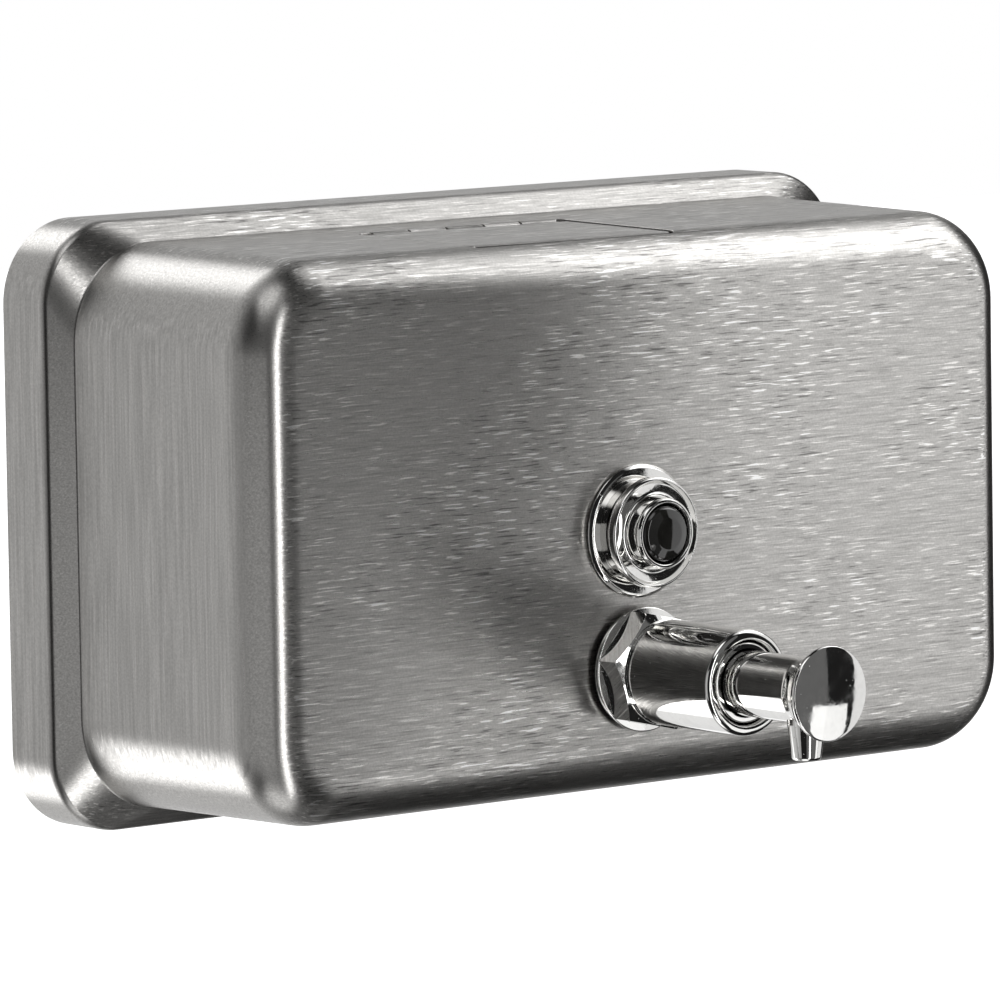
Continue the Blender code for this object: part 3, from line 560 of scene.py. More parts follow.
def make_valve_body(chrome):
    """Shank, round seat, hexagon and barrel in one."""
    place = on_panel(VALVE_Z) @ Matrix.Rotation(HEX_TURN, 4, "Z")
    shank = SHANK_RADIUS / MM
    seat = HEX_FLATS / MM / math.sqrt(3)
    mouth = BARREL_REACH / MM
    rear = [
        (SHANK_BORE, SHANK_REAR, 0), (shank, SHANK_REAR, 0.3), (shank, SEAT_REAR, 0),
        (seat, SEAT_REAR, 0.2), (seat, SEAT_FRONT, 0.3), (HEX_ROOT, HEX_REAR, 0),
    ]
    front = [
        (NECK_RADIUS, HEX_FRONT, 0), (NECK_RADIUS, HEX_FRONT + 0.9, 0.2),
        (BARREL_RADIUS, HEX_FRONT + 1.5, 0.3), (BARREL_RADIUS, mouth, 1.1),
        (BARREL_BORE + 0.4, mouth, 0.35), (BARREL_BORE, mouth - 1.0, 0.3),
        (BARREL_BORE, BORE_REAR, 0), (SHANK_BORE, BORE_REAR, 0),
    ]
    rows = [*round_rows(rear), *hexagon_rows(HEX_FLATS, HEX_REAR * MM, HEX_FRONT * MM), *round_rows(front)]
    body = lathe("valve_barrel", rows, place, CHAMFER_SHARP)
    stand_in(soften(body, CHAMFER_EDGE, CHAMFER_SHARP), "valve_body", chrome)


def make_bushing(chrome):
    """The ring in the barrel's mouth that guides the button."""
    front = BARREL_REACH / MM - BUSHING_RECESS
    outline = in_mm([
        (BUSHING_BORE, BUSHING_REAR, 0), (BUSHING_RADIUS, BUSHING_REAR, 0),
        (BUSHING_RADIUS, front, 0.4), (BUSHING_BORE, front, 0),
    ])
    stand_in(turned("valve_bushing", outline, on_panel(VALVE_Z)), "button_bushing", chrome)


def make_push_button(chrome):
    """The push rod flares into a thumb disc with a slightly domed face."""
    face = BUTTON_REACH / MM
    disc = DISC_RADIUS / MM
    outline = [(0, face, 0)]
    for k in range(1, DOME_STEPS + 1):
        share = k / DOME_STEPS
        outline.append(((disc - DISC_RIM) * share, face - DISC_CROWN * share**2, 0))
    outline += [
        (disc - 0.25, face - DISC_CROWN - 0.1, 0.25), (disc, face - 1.1, 0.4),
        (disc - 0.5, face - 2.2, 0.5), (FLARE_RADIUS, face - 4.6, 2.0),
        (ROD_RADIUS, face - 7.6, 2.5), (ROD_RADIUS, ROD_REAR, 0.2),
        (SOCKET_RADIUS, ROD_REAR, 0), (SOCKET_RADIUS, SOCKET_FRONT, 0), (CHANNEL_RADIUS, SOCKET_FRONT, 0),
        (CHANNEL_RADIUS, CHANNEL_FRONT, 0), (0, CHANNEL_FRONT, 0),
    ]
    button = turned("thumb_button", in_mm(outline), on_panel(VALVE_Z))
    stand_in(soften(button, BUTTON_EDGE), "push_button", chrome)


def make_spout(chrome):
    """The tapered tube under the thumb disc."""
    low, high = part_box("spout_nozzle")
    tip = low.z / MM
    top = high.z / MM
    outline = in_mm([
        (SPOUT_BORE, top - 1, 0), (SPOUT_BORE, tip, 0.3), (SPOUT_TIP_RADIUS - 0.3, tip, 0.3),
        (SPOUT_TIP_RADIUS, tip + 0.5, 0.4), (SPOUT_RADIUS, tip + SPOUT_TAPER, 1.0),
        (SPOUT_RADIUS, top, 0.1), (SPOUT_BORE, top, 0),
    ])
    stand_in(turned("spout_tube", outline, upright("spout_nozzle")), "spout_nozzle", chrome)


def coil_mesh(centre, radius, rear, front):
    """Round wire wound along Y."""
    curve = bpy.data.curves.new("coil", "CURVE")
    curve.dimensions = "3D"
    curve.bevel_depth = SPRING_WIRE
    curve.bevel_resolution = 3
    curve.use_fill_caps = True
    spline = curve.splines.new("POLY")
    count = SPRING_TURNS * COIL_STEPS
    spline.points.add(count)
    for i, point in enumerate(spline.points):
        angle = 2 * math.pi * i / COIL_STEPS
        x = centre.x + radius * math.cos(angle)
        z = centre.z - radius * math.sin(angle)
        point.co = (x, rear + (front - rear) * i / count, z, 1)
    coil = bpy.data.objects.new("coil", curve)
    bpy.context.scene.collection.objects.link(coil)
    bpy.context.view_layer.update()
    mesh = bpy.data.meshes.new_from_object(coil.evaluated_get(bpy.context.evaluated_depsgraph_get()))
    bpy.data.objects.remove(coil)
    mesh.shade_smooth()
    return mesh


def make_spring(material):
    """The coil between the button and its seat."""
    low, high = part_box("return_spring")
    radius = (high.x - low.x) / 2 - SPRING_WIRE
    mesh = coil_mesh((low + high) / 2, radius, high.y - SPRING_WIRE, low.y + SPRING_WIRE)
    spring = bpy.data.objects.new("coil_spring", mesh)
    bpy.context.scene.collection.objects.link(spring)
    stand_in(spring, "return_spring", material)
    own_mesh(spring)


# ---------------------------------------------------------------- wall side, fasteners and inside


def bent_sheet(name, corners, half_width):
    """Sheet metal bent along X from a closed outline of (y, z, fillet) corners in millimetres."""
    corners = in_mm(corners)
    outline = fillet([corners[-1], *corners, corners[0]])[1:-1]
    across = Matrix(((0, 0, 1, 0), (1, 0, 0, 0), (0, 1, 0, 0), (0, 0, 0, 1)))
    return prism(name, outline, -half_width, half_width, across)


def plate_outline(low, high):
    """The wall plate's section: flat on the wall, a lip to hang on at its top and a foot below."""
    front, foot, lip = low.y / MM, low.z / MM, high.z / MM
    bend_z = lip - LIP_HEIGHT
    edge, inner, outer = 0.3, 0.8, 2.3
    return [
        (0, foot, outer), (0, bend_z, outer), (PLATE_SHEET - LIP_REACH, bend_z, inner),
        (PLATE_SHEET - LIP_REACH, lip, edge), (-LIP_REACH, lip, edge),
        (-LIP_REACH, bend_z - PLATE_SHEET, outer), (-PLATE_SHEET, bend_z - PLATE_SHEET, inner),
        (-PLATE_SHEET, foot + PLATE_SHEET, inner), (front, foot + PLATE_SHEET, edge), (front, foot, edge),
    ]


def plate_holes(foot):
    """Cutters for the wall screws and for the locking screw in the foot."""
    holes = []
    for i in range(1, SCREW_COUNT + 1):
        place = out_of_wall(f"wall_screw_{i}")
        holes.append(cylinder("screw_hole", SCREW_HOLE, -PLATE_CUT, PLATE_CUT, place, SCREW_STEPS))
    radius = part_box("locking_screw")[1].x + GAP
    place = upright("locking_screw")
    holes.append(cylinder("foot_hole", radius, foot - HOLE_CUT, foot + HOLE_CUT, place, SCREW_STEPS))
    return holes


def make_wall_plate(material):
    """The plate that is screwed to the wall."""
    low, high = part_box("wall_plate")
    plate = bent_sheet("wall_bracket", plate_outline(low, high), high.x)
    middle = Matrix.Translation((0, 0, (low.z + high.z) / 2)) @ WALL_AXIS
    outline = rounded_rectangle(high.x, (high.z - low.z) / 2, PLATE_CORNER, PLATE_CORNER_STEPS)
    combine(plate, "INTERSECT", [prism("plate_outline", outline, -MM, -low.y + MM, middle)])
    combine(plate, "DIFFERENCE", plate_holes(low.z))
    stand_in(soften(plate, SHEET_EDGE), "wall_plate", material)


def make_hanger_rail(material):
    """The hooked rail on the tank's back, with the dimples of its spot welds."""
    low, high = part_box("hanger_rail")
    front, rear, top, bottom = low.y / MM, high.y / MM, high.z / MM, low.z / MM
    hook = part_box("wall_plate")[1].z / MM - LIP_HEIGHT + GAP / MM
    edge, inner, outer = 0.25, 0.6, 1.8
    outline = [
        (front, bottom, edge), (front, top, outer), (rear, top, outer), (rear, hook, edge),
        (rear - RAIL_SHEET, hook, edge), (rear - RAIL_SHEET, top - RAIL_SHEET, inner),
        (front + RAIL_SHEET, top - RAIL_SHEET, inner), (front + RAIL_SHEET, bottom, edge),
    ]
    rail = bent_sheet("hanging_rail", outline, high.x)
    welds = []
    for i in range(WELD_COUNT):
        x = high.x * (i - WELD_COUNT // 2) / WELD_SPREAD
        place = Matrix.Translation((x, low.y, (bottom + WELD_ABOVE_FOOT) * MM)) @ WALL_AXIS
        welds.append(turned("weld", in_mm(WELD_OUTLINE), place, PIN_STEPS))
    combine(rail, "DIFFERENCE", welds)
    stand_in(soften(rail, SMALL_EDGE), "hanger_rail", material)


def make_tank_back(material):
    """The plate that closes the tank behind."""
    low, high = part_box("tank_back")
    outline = rounded_rectangle(high.x, high.z, BACK_CORNER)
    plate = prism("rear_plate", outline, -high.y, -low.y, WALL_AXIS)
    stand_in(soften(plate, SHEET_EDGE), "tank_back", material)


def make_wall_screws(material):
    """Slotted pan head screws, each turned to its own angle."""
    long, wide = SLOT_HALF_LENGTH * MM, SLOT_HALF_WIDTH * MM
    slot = [(-long, -wide), (long, -wide), (long, wide), (-long, wide)]
    for i in range(1, SCREW_COUNT + 1):
        low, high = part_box(f"wall_screw_{i}")
        place = out_of_wall(f"wall_screw_{i}")
        rim = (high.x - low.x) / 2 / MM
        crown = -low.y / MM
        head = crown - SCREW_HEAD
        outline = in_mm([
            (0, 0, 0), (SCREW_RADIUS, 0, 0.2), (SCREW_RADIUS, head, 0), (rim, head, 0.25),
            (rim, crown - 1.0, 0.9), (2.4, crown, 2.0), (0, crown, 0),
        ])
        screw = turned(f"plate_screw_{i}", outline, place, SCREW_STEPS)
        turn = Matrix.Rotation(math.radians(SCREW_ANGLE * i), 4, "Z")
        cutter = prism("slot", slot, (crown - SLOT_DEPTH) * MM, (crown + 2) * MM, place @ turn)
        combine(screw, "DIFFERENCE", [cutter])
        stand_in(soften(screw, SMALL_EDGE), f"wall_screw_{i}", material)


def make_locking_screw(material):
    """The set screw under the flange, with its thread as rings and a hexagon socket in its end."""
    low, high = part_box("locking_screw")
    place = upright("locking_screw")
    bottom, top, radius = low.z / MM, high.z / MM, high.x / MM
    outline = [(0, bottom, 0), (radius - 0.5, bottom, 0.1), (radius, bottom + 0.5, 0.1)]
    for k in range(int((top - bottom - 2) / LOCK_PITCH)):
        crest = bottom + 0.7 + k * LOCK_PITCH
        outline += [(radius, crest, 0.05), (radius - LOCK_THREAD, crest + LOCK_PITCH / 2, 0.05)]
    outline += [(radius, top - 1.2, 0.1), (radius - 0.8, top, 0.1), (0, top, 0)]
    screw = turned("lock_screw", in_mm(outline), place, SCREW_STEPS)
    socket = [polar(KEY_RADIUS * MM, SIXTH * k).xy for k in range(6)]
    combine(screw, "DIFFERENCE", [prism("key_socket", socket, low.z - MM, low.z + KEY_DEPTH * MM, place)])
    stand_in(soften(screw, FINE_EDGE), "locking_screw", material)


# Turned tubes and rings: node, bore and edge rounding in millimetres, whether it stands upright
TUBES = (
    ("gauge_gasket", 9.3, 0.3, False),
    ("valve_gasket_inner", 9.3, 0.3, False),
    ("valve_gasket_outer", 9.3, 0.2, False),
    ("button_seal", 6.8, 0.6, False),
    ("spring_seat", 4.3, 0.2, False),
    ("plunger_stem", 2.0, 0.3, False),
    ("piston_seal", 6.1, 0.5, False),
    ("pickup_tube", 2.3, 0.2, True),
)


def make_tubes(materials):
    """The plain turned pieces, from their nodes' outer sizes."""
    for name, bore, rounding, is_upright in TUBES:
        low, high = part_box(name)
        radius = (high.x - low.x) / 2 / MM
        if is_upright:
            place = upright(name)
            rear, front = low.z / MM, high.z / MM
        else:
            place = out_of_wall(name)
            rear, front = -high.y / MM, -low.y / MM
        middle = (rear + front) / 2
        outline = in_mm([
            (bore, middle, 0), (bore, rear, rounding), (radius, rear, rounding), (radius, front, rounding),
            (bore, front, rounding), (bore, middle + SEAM, 0),
        ])
        stand_in(turned(f"{name}_turned", outline, place, SCREW_STEPS), name, materials[SLOT_OF[name]])


def make_hinge_pin(material):
    left, right, rounding = PIN_LOW.x, PIN_HIGH.x, PIN_EDGE
    outline = [(0, left, 0), (PIN_RADIUS, left, rounding), (PIN_RADIUS, right, rounding), (0, right, 0)]
    stand_in(turned("lid_pin", outline, along_hinge(), PIN_STEPS), "hinge_pin", material)


def make_catch(material):
    """The leaf spring under the lid, bent to snap behind the mouth's front edge."""
    low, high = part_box("lid_catch")
    front, rear, top, bottom = low.y / MM, high.y / MM, high.z / MM, low.z / MM
    outline = [
        (rear, top, 0.15), (front, top, 0.7), (front, top - 1.6, 0.6), (front + 0.9, bottom, 0.15),
        (front + 1.4, bottom + 0.2, 0.15), (front + CATCH_SHEET, top - 1.4, 0.4),
        (front + CATCH_SHEET, top - CATCH_SHEET, 0.3), (rear, top - CATCH_SHEET, 0.15),
    ]
    leaf = bent_sheet("catch_leaf", outline, (high.x - low.x) / 2)
    leaf.data.transform(Matrix.Translation(((low.x + high.x) / 2, 0, 0)))
    stand_in(soften(leaf, FINE_EDGE), "lid_catch", material)


def make_ball(material):
    """The ball of the pump's inlet valve."""
    low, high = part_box("inlet_ball")
    radius = (high.x - low.x) / 2
    centre = Matrix.Translation((low + high) / 2)
    bm = bmesh.new()
    bmesh.ops.create_icosphere(bm, subdivisions=4, radius=radius, matrix=centre)
    stand_in(finish(bm, "steel_ball"), "inlet_ball", material)


def make_nut(name, material):
    """A hexagon nut chamfered at both ends, with the turns of its thread as rings in the bore."""
    low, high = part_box(name)
    rear, front = -high.y / MM, -low.y / MM
    bore = (SHANK_RADIUS + GAP) / MM
    thread = []
    for k in range(int((front - rear) / NUT_PITCH) - 1):
        crest = front - 0.6 - k * NUT_PITCH
        thread += [(bore, crest, 0), (bore + NUT_THREAD, crest - NUT_PITCH / 2, 0)]
    mouth = bore + NUT_THREAD + 0.1
    rows = hexagon_rows(high.z - low.z, -high.y, -low.y, both_ends=True)
    rows += round_rows([(mouth, front, 0), *thread, (mouth, rear, 0)])
    nut = lathe(f"{name}_cut", rows, out_of_wall(name), CHAMFER_SHARP)
    stand_in(soften(nut, CHAMFER_EDGE, CHAMFER_SHARP), name, material)


# ---------------------------------------------------------------- materials

STEEL_COLOUR = (0.50, 0.49, 0.475)
CHROME_COLOUR = (0.78, 0.775, 0.76)
ZINC_COLOURS = ((0.58, 0.60, 0.63), (0.65, 0.64, 0.60))
SPRING_COLOUR = (0.50, 0.50, 0.51)
RUBBER_COLOUR = (0.022, 0.022, 0.024)
WHITE_COLOUR = (0.72, 0.72, 0.68)
# the lens's near black is painted shade of the tank's inside behind the window
LENS_PAINTED_SHADE = (0.016, 0.0155, 0.014)


def feed(tree, socket, value):
    """Links another node's socket to this one, or sets any other value on it."""
    if isinstance(value, bpy.types.NodeSocket):
        tree.links.new(value, socket)
    else:
        socket.default_value = value


def node(tree, kind, inputs=None, **settings):
    made = tree.nodes.new(kind)
    for key, value in settings.items():
        setattr(made, key, value)
    for key, value in (inputs or {}).items():
        feed(tree, made.inputs[key], value)
    return made


def new_material(name):
    """A material, its node tree, its shader and the object coordinates that its patterns lie in."""
    made = bpy.data.materials.new(name)
    made.use_nodes = True
    tree = made.node_tree
    place = node(tree, "ShaderNodeTexCoord").outputs["Object"]
    return made, tree, tree.nodes["Principled BSDF"], place


def math_node(tree, operation, *values):
    made = node(tree, "ShaderNodeMath", operation=operation)
    for socket, value in zip(made.inputs, values):
        feed(tree, socket, value)
    return made.outputs[0]


def vector_node(tree, operation, *values):
    made = node(tree, "ShaderNodeVectorMath", operation=operation)
    for socket, value in zip(made.inputs, values):
        feed(tree, socket, value)
    return made.outputs["Value"] if operation == "DOT_PRODUCT" else made.outputs["Vector"]


def paint(tree, shader, colour, tone):
    """The base colour: a colour, lightened or darkened by a tone."""
    scaled = node(tree, "ShaderNodeVectorMath", {"Scale": tone}, operation="SCALE")
    feed(tree, scaled.inputs[0], colour)
    tree.links.new(scaled.outputs["Vector"], shader.inputs["Base Color"])


def emboss(tree, shader, height, strength, depth):
    """Bumps from a height between 0 and 1, up to a depth in millimetres."""
    bump = node(tree, "ShaderNodeBump", {"Height": height, "Strength": strength, "Distance": depth * MM})
    tree.links.new(bump.outputs[0], shader.inputs["Normal"])


def remap(tree, value, low, high, to_low=0.0, to_high=1.0):
    """Maps low..high smoothly to to_low..to_high."""
    values = {"Value": value, "From Min": low, "From Max": high, "To Min": to_low, "To Max": to_high}
    return node(tree, "ShaderNodeMapRange", values, interpolation_type="SMOOTHSTEP").outputs["Result"]


def blend(tree, factor, first, second):
    """first where factor is 0 and second where it is 1."""
    rest = math_node(tree, "SUBTRACT", second, first)
    return math_node(tree, "MULTIPLY_ADD", rest, factor, first)


def grain(tree, coordinates, sizes, detail=2.0, seed=0.0):
    """Noise whose blots have these sizes in millimetres along X, Y and Z."""
    scale = tuple(1 / (size * MM) for size in sizes)
    offset = (seed, seed, seed)
    mapped = node(tree, "ShaderNodeMapping", {"Vector": coordinates, "Scale": scale, "Location": offset})
    values = {"Vector": mapped.outputs[0], "Scale": 1.0, "Detail": detail, "Roughness": 0.6}
    return node(tree, "ShaderNodeTexNoise", values).outputs["Fac"]


def steel_flecks_and_glints(tree, place, allowed):
    """Masks of the dark dashes that brushing leaves and of bright dashes painted in as glints, denser in some
    patches than in others.
    """
    flecks = grain(tree, place, (6.5, 0.5, 0.42), 1.5, 3.1)
    patches = grain(tree, place, (34, 30, 24), 2, 7.7)
    dense = math_node(tree, "MULTIPLY", remap(tree, patches, 0.35, 0.62, 0.25, 1.0), allowed)
    # bright: dashes painted lighter than the steel, standing in for glints off the brushing
    bright = math_node(tree, "MULTIPLY", remap(tree, flecks, 0.58, 0.68), dense)
    dark = math_node(tree, "MULTIPLY", remap(tree, flecks, 0.43, 0.33), dense)
    return bright, dark


def steel_tone(tree, fine, side, bright, dark, sparkle):
    """How light the brushed steel is: fine lines, softer on the sides, then painted glints, dark flecks and
    sparkle.
    """
    spread = blend(tree, side, 0.20, 0.09)
    tone = math_node(tree, "MULTIPLY_ADD", remap(tree, fine, 0.2, 0.8, -1.0, 1.0), spread, 0.99)
    # painted glints: the bright dashes lift the base colour past the steel's own
    tone = math_node(tree, "MULTIPLY_ADD", bright, 1.3, tone)
    tone = math_node(tree, "MULTIPLY_ADD", dark, -0.52, tone)
    return math_node(tree, "MULTIPLY", tone, remap(tree, sparkle, 0.2, 0.8, 0.93, 1.07))


def brushed_steel():
    """Satin stainless steel brushed along X on the front, top and bottom, and upright on the sides, with bright
    dashes painted into its colour as glints.
    """
    made, tree, shader, place = new_material("brushed_steel")
    normal = node(tree, "ShaderNodeNewGeometry").outputs["Normal"]
    parts = node(tree, "ShaderNodeSeparateXYZ", {"Vector": normal})
    sideways = math_node(tree, "ABSOLUTE", parts.outputs["X"])
    side = remap(tree, sideways, 0.86, 0.97)
    fine = blend(tree, side, grain(tree, place, (9, 0.3, 0.3), 3), grain(tree, place, (0.6, 0.6, 20), 1))
    # bright is a mask of painted glints; dark is a mask of dark dashes of the brushing
    bright, dark = steel_flecks_and_glints(tree, place, remap(tree, sideways, 0.5, 0.2))
    sparkle = grain(tree, place, (0.45, 0.45, 0.45), 0, 1.3)
    paint(tree, shader, STEEL_COLOUR, steel_tone(tree, fine, side, bright, dark, sparkle))

    shader.inputs["Metallic"].default_value = 1.0
    shader.inputs["Anisotropic"].default_value = 0.75
    tree.links.new(remap(tree, fine, 0.2, 0.8, 0.36, 0.26), shader.inputs["Roughness"])
    front_only = math_node(tree, "SUBTRACT", 1.0, side)
    scratch = node(tree, "ShaderNodeCombineXYZ", {"X": front_only, "Y": 0.0, "Z": side}).outputs[0]
    tree.links.new(vector_node(tree, "CROSS_PRODUCT", normal, scratch), shader.inputs["Tangent"])
    emboss(tree, shader, math_node(tree, "MULTIPLY_ADD", bright, 0.8, fine), 0.35, 0.02)
    return made


def chrome_plate():
    """Polished chrome with faint wipe marks, a little orange peel and specks of dust."""
    made, tree, shader, place = new_material("chrome")
    smears = grain(tree, place, (3, 3, 3), 3)
    peel = grain(tree, place, (1.2, 1.2, 1.2), 1, 4.4)
    specks = node(tree, "ShaderNodeTexVoronoi", {"Vector": place, "Scale": 1 / (1.6 * MM)})
    dust = remap(tree, specks.outputs["Distance"], 0.085, 0.05)
    paint(tree, shader, CHROME_COLOUR, remap(tree, smears, 0.3, 0.7, 0.93, 1.0))
    tree.links.new(math_node(tree, "SUBTRACT", 1.0, dust), shader.inputs["Metallic"])
    tree.links.new(remap(tree, smears, 0.35, 0.75, 0.03, 0.11), shader.inputs["Roughness"])
    emboss(tree, shader, peel, 0.12, 0.03)
    return made


def plated_steel():
    """Zinc plated sheet steel: pale, a little blue and yellow in patches, with fine spangle."""
    made, tree, shader, place = new_material("plated_steel")
    patches = grain(tree, place, (18, 18, 18), 3)
    spangle = node(tree, "ShaderNodeTexVoronoi", {"Vector": place, "Scale": 1 / (1.6 * MM)})
    tint = node(tree, "ShaderNodeValToRGB", {"Fac": patches})
    for element, position, colour in zip(tint.color_ramp.elements, (0.35, 0.68), ZINC_COLOURS):
        element.position = position
        element.color = (*colour, 1)
    flake = node(tree, "ShaderNodeSeparateXYZ", {"Vector": spangle.outputs["Color"]}).outputs["X"]
    paint(tree, shader, tint.outputs["Color"], remap(tree, flake, 0.0, 1.0, 0.93, 1.05))
    shader.inputs["Metallic"].default_value = 1.0
    rough = blend(tree, patches, remap(tree, flake, 0.0, 1.0, 0.24, 0.40), 0.42)
    tree.links.new(rough, shader.inputs["Roughness"])
    emboss(tree, shader, patches, 0.2, 0.05)
    return made


def spring_steel():
    """Drawn wire and turned pins: darker steel with fine drawing lines."""
    made, tree, shader, place = new_material("spring_steel")
    lines = grain(tree, place, (2.5, 0.25, 0.25), 3)
    stains = grain(tree, place, (4, 4, 4), 2, 5.5)
    drawn = remap(tree, lines, 0.2, 0.8, 0.85, 1.12)
    stained = remap(tree, stains, 0.3, 0.7, 0.85, 1.05)
    paint(tree, shader, SPRING_COLOUR, math_node(tree, "MULTIPLY", drawn, stained))
    shader.inputs["Metallic"].default_value = 1.0
    tree.links.new(remap(tree, stains, 0.3, 0.7, 0.18, 0.34), shader.inputs["Roughness"])
    emboss(tree, shader, lines, 0.2, 0.02)
    return made


def plastic(name, colour, rough, grain_size):
    """Moulded plastic or rubber with a fine tooled surface and slightly uneven colour."""
    made, tree, shader, place = new_material(name)
    clouds = grain(tree, place, (12, 12, 12), 3)
    texture = grain(tree, place, (grain_size,) * 3, 2, 2.2)
    paint(tree, shader, colour, remap(tree, clouds, 0.3, 0.7, 0.88, 1.08))
    tree.links.new(remap(tree, texture, 0.2, 0.8, rough - 0.07, rough + 0.07), shader.inputs["Roughness"])
    emboss(tree, shader, texture, 0.3, 0.03)
    return made


def lens_plastic():
    """The gauge's window, made opaque and nearly black: painted shade of the tank's dark inside, which the clear
    plastic would show.
    """
    made, tree, shader, place = new_material("clear_plastic")
    clouds = grain(tree, place, (4, 4, 4), 2)
    wear = grain(tree, place, (0.4, 2.0, 2.0), 2, 6.1)
    # painted shade: the window is coloured nearly black for the dark tank behind it
    paint(tree, shader, LENS_PAINTED_SHADE, remap(tree, clouds, 0.3, 0.7, 0.7, 1.2))
    tree.links.new(remap(tree, wear, 0.3, 0.8, 0.03, 0.10), shader.inputs["Roughness"])
    shader.inputs["IOR"].default_value = 1.49
    shader.inputs["Coat Weight"].default_value = 0.6
    shader.inputs["Coat Roughness"].default_value = 0.02
    return made


def make_materials():
    return {
        "brushed_steel": brushed_steel(),
        "chrome": chrome_plate(),
        "plated_steel": plated_steel(),
        "spring_steel": spring_steel(),
        "rubber": plastic("rubber", RUBBER_COLOUR, 0.62, 0.5),
        "white_plastic": plastic("white_plastic", WHITE_COLOUR, 0.42, 0.35),
        "clear_plastic": lens_plastic(),
    }


def dress_frame(materials):
    """Gives each CAD node the material of its slot; the nodes that nothing replaces stay in view."""
    for name, obj in frame["nodes"].items():
        obj.data.materials.clear()
        obj.data.materials.append(materials[SLOT_OF[name]])


# ---------------------------------------------------------------- studio


def aim(obj, target):
    obj.rotation_euler = (Vector(target) - obj.location).to_track_quat("-Z", "Y").to_euler()


def soft_box(name, centre, target, width, height, radiance):
    """A rectangular light that looks this bright from anywhere in front of it."""
    light = bpy.data.lights.new(name, "AREA")
    light.shape = "RECTANGLE"
    light.size = width
    light.size_y = height
    light.energy = radiance * math.pi * width * height
    obj = bpy.data.objects.new(name, light)
    obj.location = centre
    bpy.context.scene.collection.objects.link(obj)
    aim(obj, target)
    obj.visible_camera = False


# Soft lights far round the object: (direction, inner and outer half angle in degrees, brightness)
STUDIO_LOBES = (
    ((-0.25, 1.0, 0.0), 35, 80, 0.64),
    ((0.08, 0.77, 0.63), 5, 17, 2.6),
    ((-0.35, 0.77, -0.53), 8, 19, 3.0),
    ((0.20, 0.77, -0.60), 10, 30, 0.35),
    ((0.63, 0.77, 0.12), 10, 25, 0.15),
    ((0.63, 0.73, -0.27), 6, 18, 0.6),
    ((0.63, -0.06, 0.77), 8, 28, 1.3),
    ((-0.37, -0.23, 0.90), 8, 22, 1.5),
    ((-0.23, -0.09, -0.97), 8, 22, 1.5),
)
STUDIO_AMBIENT = 0.015

# Soft boxes near the object: (name, centre, target, width, height, brightness)
STUDIO_CARDS = (
    ("right_card", (0.205, -0.165, 0.04), (0.07, 0.0, 0.01), 0.20, 0.33, 0.95),
    ("overhead_right", (0.31, -0.21, 0.27), (0.08, -0.07, 0.0), 0.22, 0.26, 1.6),
    ("left_strip", (-0.27, -1.05, -0.25), (0, 0, 0), 0.14, 2.2, 5.0),
    ("left_card", (-0.172, -0.105, -0.035), (-0.09, -0.05, -0.02), 0.115, 0.15, 0.42),
    ("front_card", (-0.008, -0.228, 0.0), (-0.008, -0.07, 0.0), 0.164, 0.24, 0.13),
    ("low_card", (0.135, -0.29, -0.14), (-0.03, -0.074, -0.04), 0.07, 0.14, 1.2),
    ("under_card", (-0.03, -0.06, -0.18), (-0.03, -0.06, 0.0), 0.10, 0.13, 0.15),
)


def make_world():
    """White to the camera; to the object, a dim room with soft lights behind, above and below."""
    world = bpy.data.worlds.new("studio")
    bpy.context.scene.world = world
    world.use_nodes = True
    tree = world.node_tree
    background = tree.nodes["Background"]
    direction = node(tree, "ShaderNodeTexCoord").outputs["Generated"]
    total = STUDIO_AMBIENT
    for axis, inner, outer, strength in STUDIO_LOBES:
        facing = vector_node(tree, "DOT_PRODUCT", direction, Vector(axis).normalized())
        share = remap(tree, facing, math.cos(math.radians(outer)), math.cos(math.radians(inner)))
        total = math_node(tree, "MULTIPLY_ADD", share, strength, total)
    to_camera = node(tree, "ShaderNodeLightPath").outputs["Is Camera Ray"]
    tree.links.new(blend(tree, to_camera, total, 1.0), background.inputs["Strength"])
    background.inputs["Color"].default_value = (1, 1, 1, 1)


def make_lights():
    """The near soft boxes, whose edges show in the brushed front and the chrome."""
    for card in STUDIO_CARDS:
        soft_box(*card)


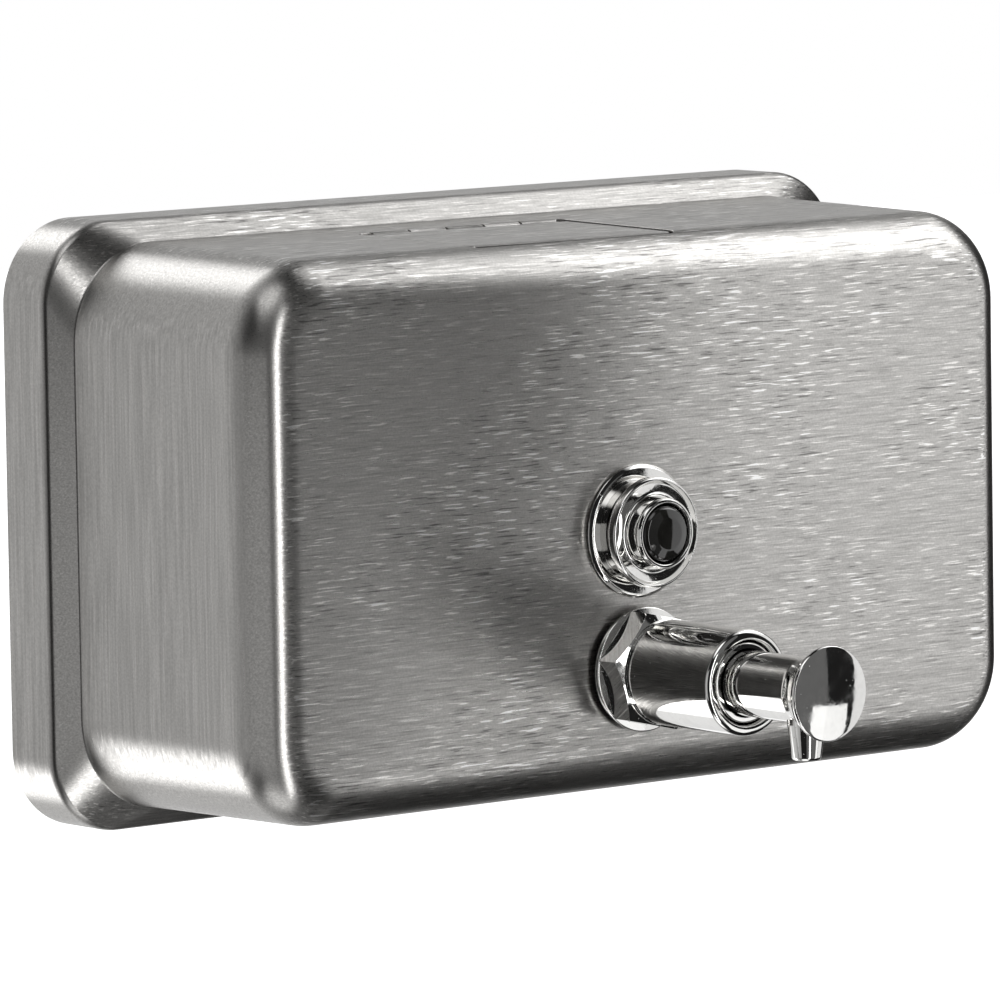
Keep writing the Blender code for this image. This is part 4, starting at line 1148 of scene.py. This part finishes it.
def make_floor():
    """A plain white floor, as far below the dispenser as it hangs above one."""
    bm = bmesh.new()
    for x, y in ((-1, -1), (1, -1), (1, 1), (-1, 1)):
        bm.verts.new((x * FLOOR_HALF, y * FLOOR_HALF, FLOOR_HEIGHT))
    bm.faces.new(bm.verts)
    floor = finish(bm, "floor")
    made, tree, shader, place = new_material("floor_white")
    clouds = grain(tree, place, (900, 900, 900), 2)
    paint(tree, shader, FLOOR_COLOUR, remap(tree, clouds, 0.3, 0.7, 0.97, 1.0))
    shader.inputs["Roughness"].default_value = 0.9
    shader.inputs["Emission Color"].default_value = (1, 1, 1, 1)
    shader.inputs["Emission Strength"].default_value = 1.0
    floor.data.materials.append(made)
    floor.visible_glossy = False
    floor.visible_diffuse = False


def make_camera():
    """The photograph's view of the object."""
    camera = bpy.data.cameras.new("camera")
    camera.lens = CAMERA_LENS
    camera.sensor_width = CAMERA_SENSOR
    camera.clip_start, camera.clip_end = CAMERA_CLIP
    obj = bpy.data.objects.new("camera", camera)
    bpy.context.scene.collection.objects.link(obj)
    turn = Matrix.Rotation(-CAMERA_YAW, 4, "Z")
    tilt = Matrix.Rotation(math.radians(90) - CAMERA_PITCH, 4, "X")
    roll = Matrix.Rotation(CAMERA_ROLL, 4, "Z")
    rotation = turn @ tilt @ roll
    back = rotation @ Vector((0, 0, CAMERA_DISTANCE))
    obj.matrix_world = Matrix.Translation(CAMERA_AIM + back) @ rotation
    bpy.context.scene.camera = obj


def main():
    bpy.context.scene.view_settings.view_transform = "Standard"
    make_camera()
    make_world()
    make_lights()
    make_floor()
    materials = make_materials()
    dress_frame(materials)
    make_shell(materials["brushed_steel"])
    make_lid(materials["brushed_steel"])
    make_gauge(materials["chrome"], materials["clear_plastic"])
    make_valve_body(materials["chrome"])
    make_bushing(materials["chrome"])
    make_push_button(materials["chrome"])
    make_spout(materials["chrome"])
    make_spring(materials["spring_steel"])
    make_wall_plate(materials["plated_steel"])
    make_hanger_rail(materials["plated_steel"])
    make_tank_back(materials["brushed_steel"])
    make_wall_screws(materials["plated_steel"])
    make_locking_screw(materials["spring_steel"])
    make_tubes(materials)
    make_hinge_pin(materials["spring_steel"])
    make_catch(materials["spring_steel"])
    make_ball(materials["spring_steel"])
    for name in ("gauge_nut", "valve_lock_nut"):
        make_nut(name, materials[SLOT_OF[name]])


main()
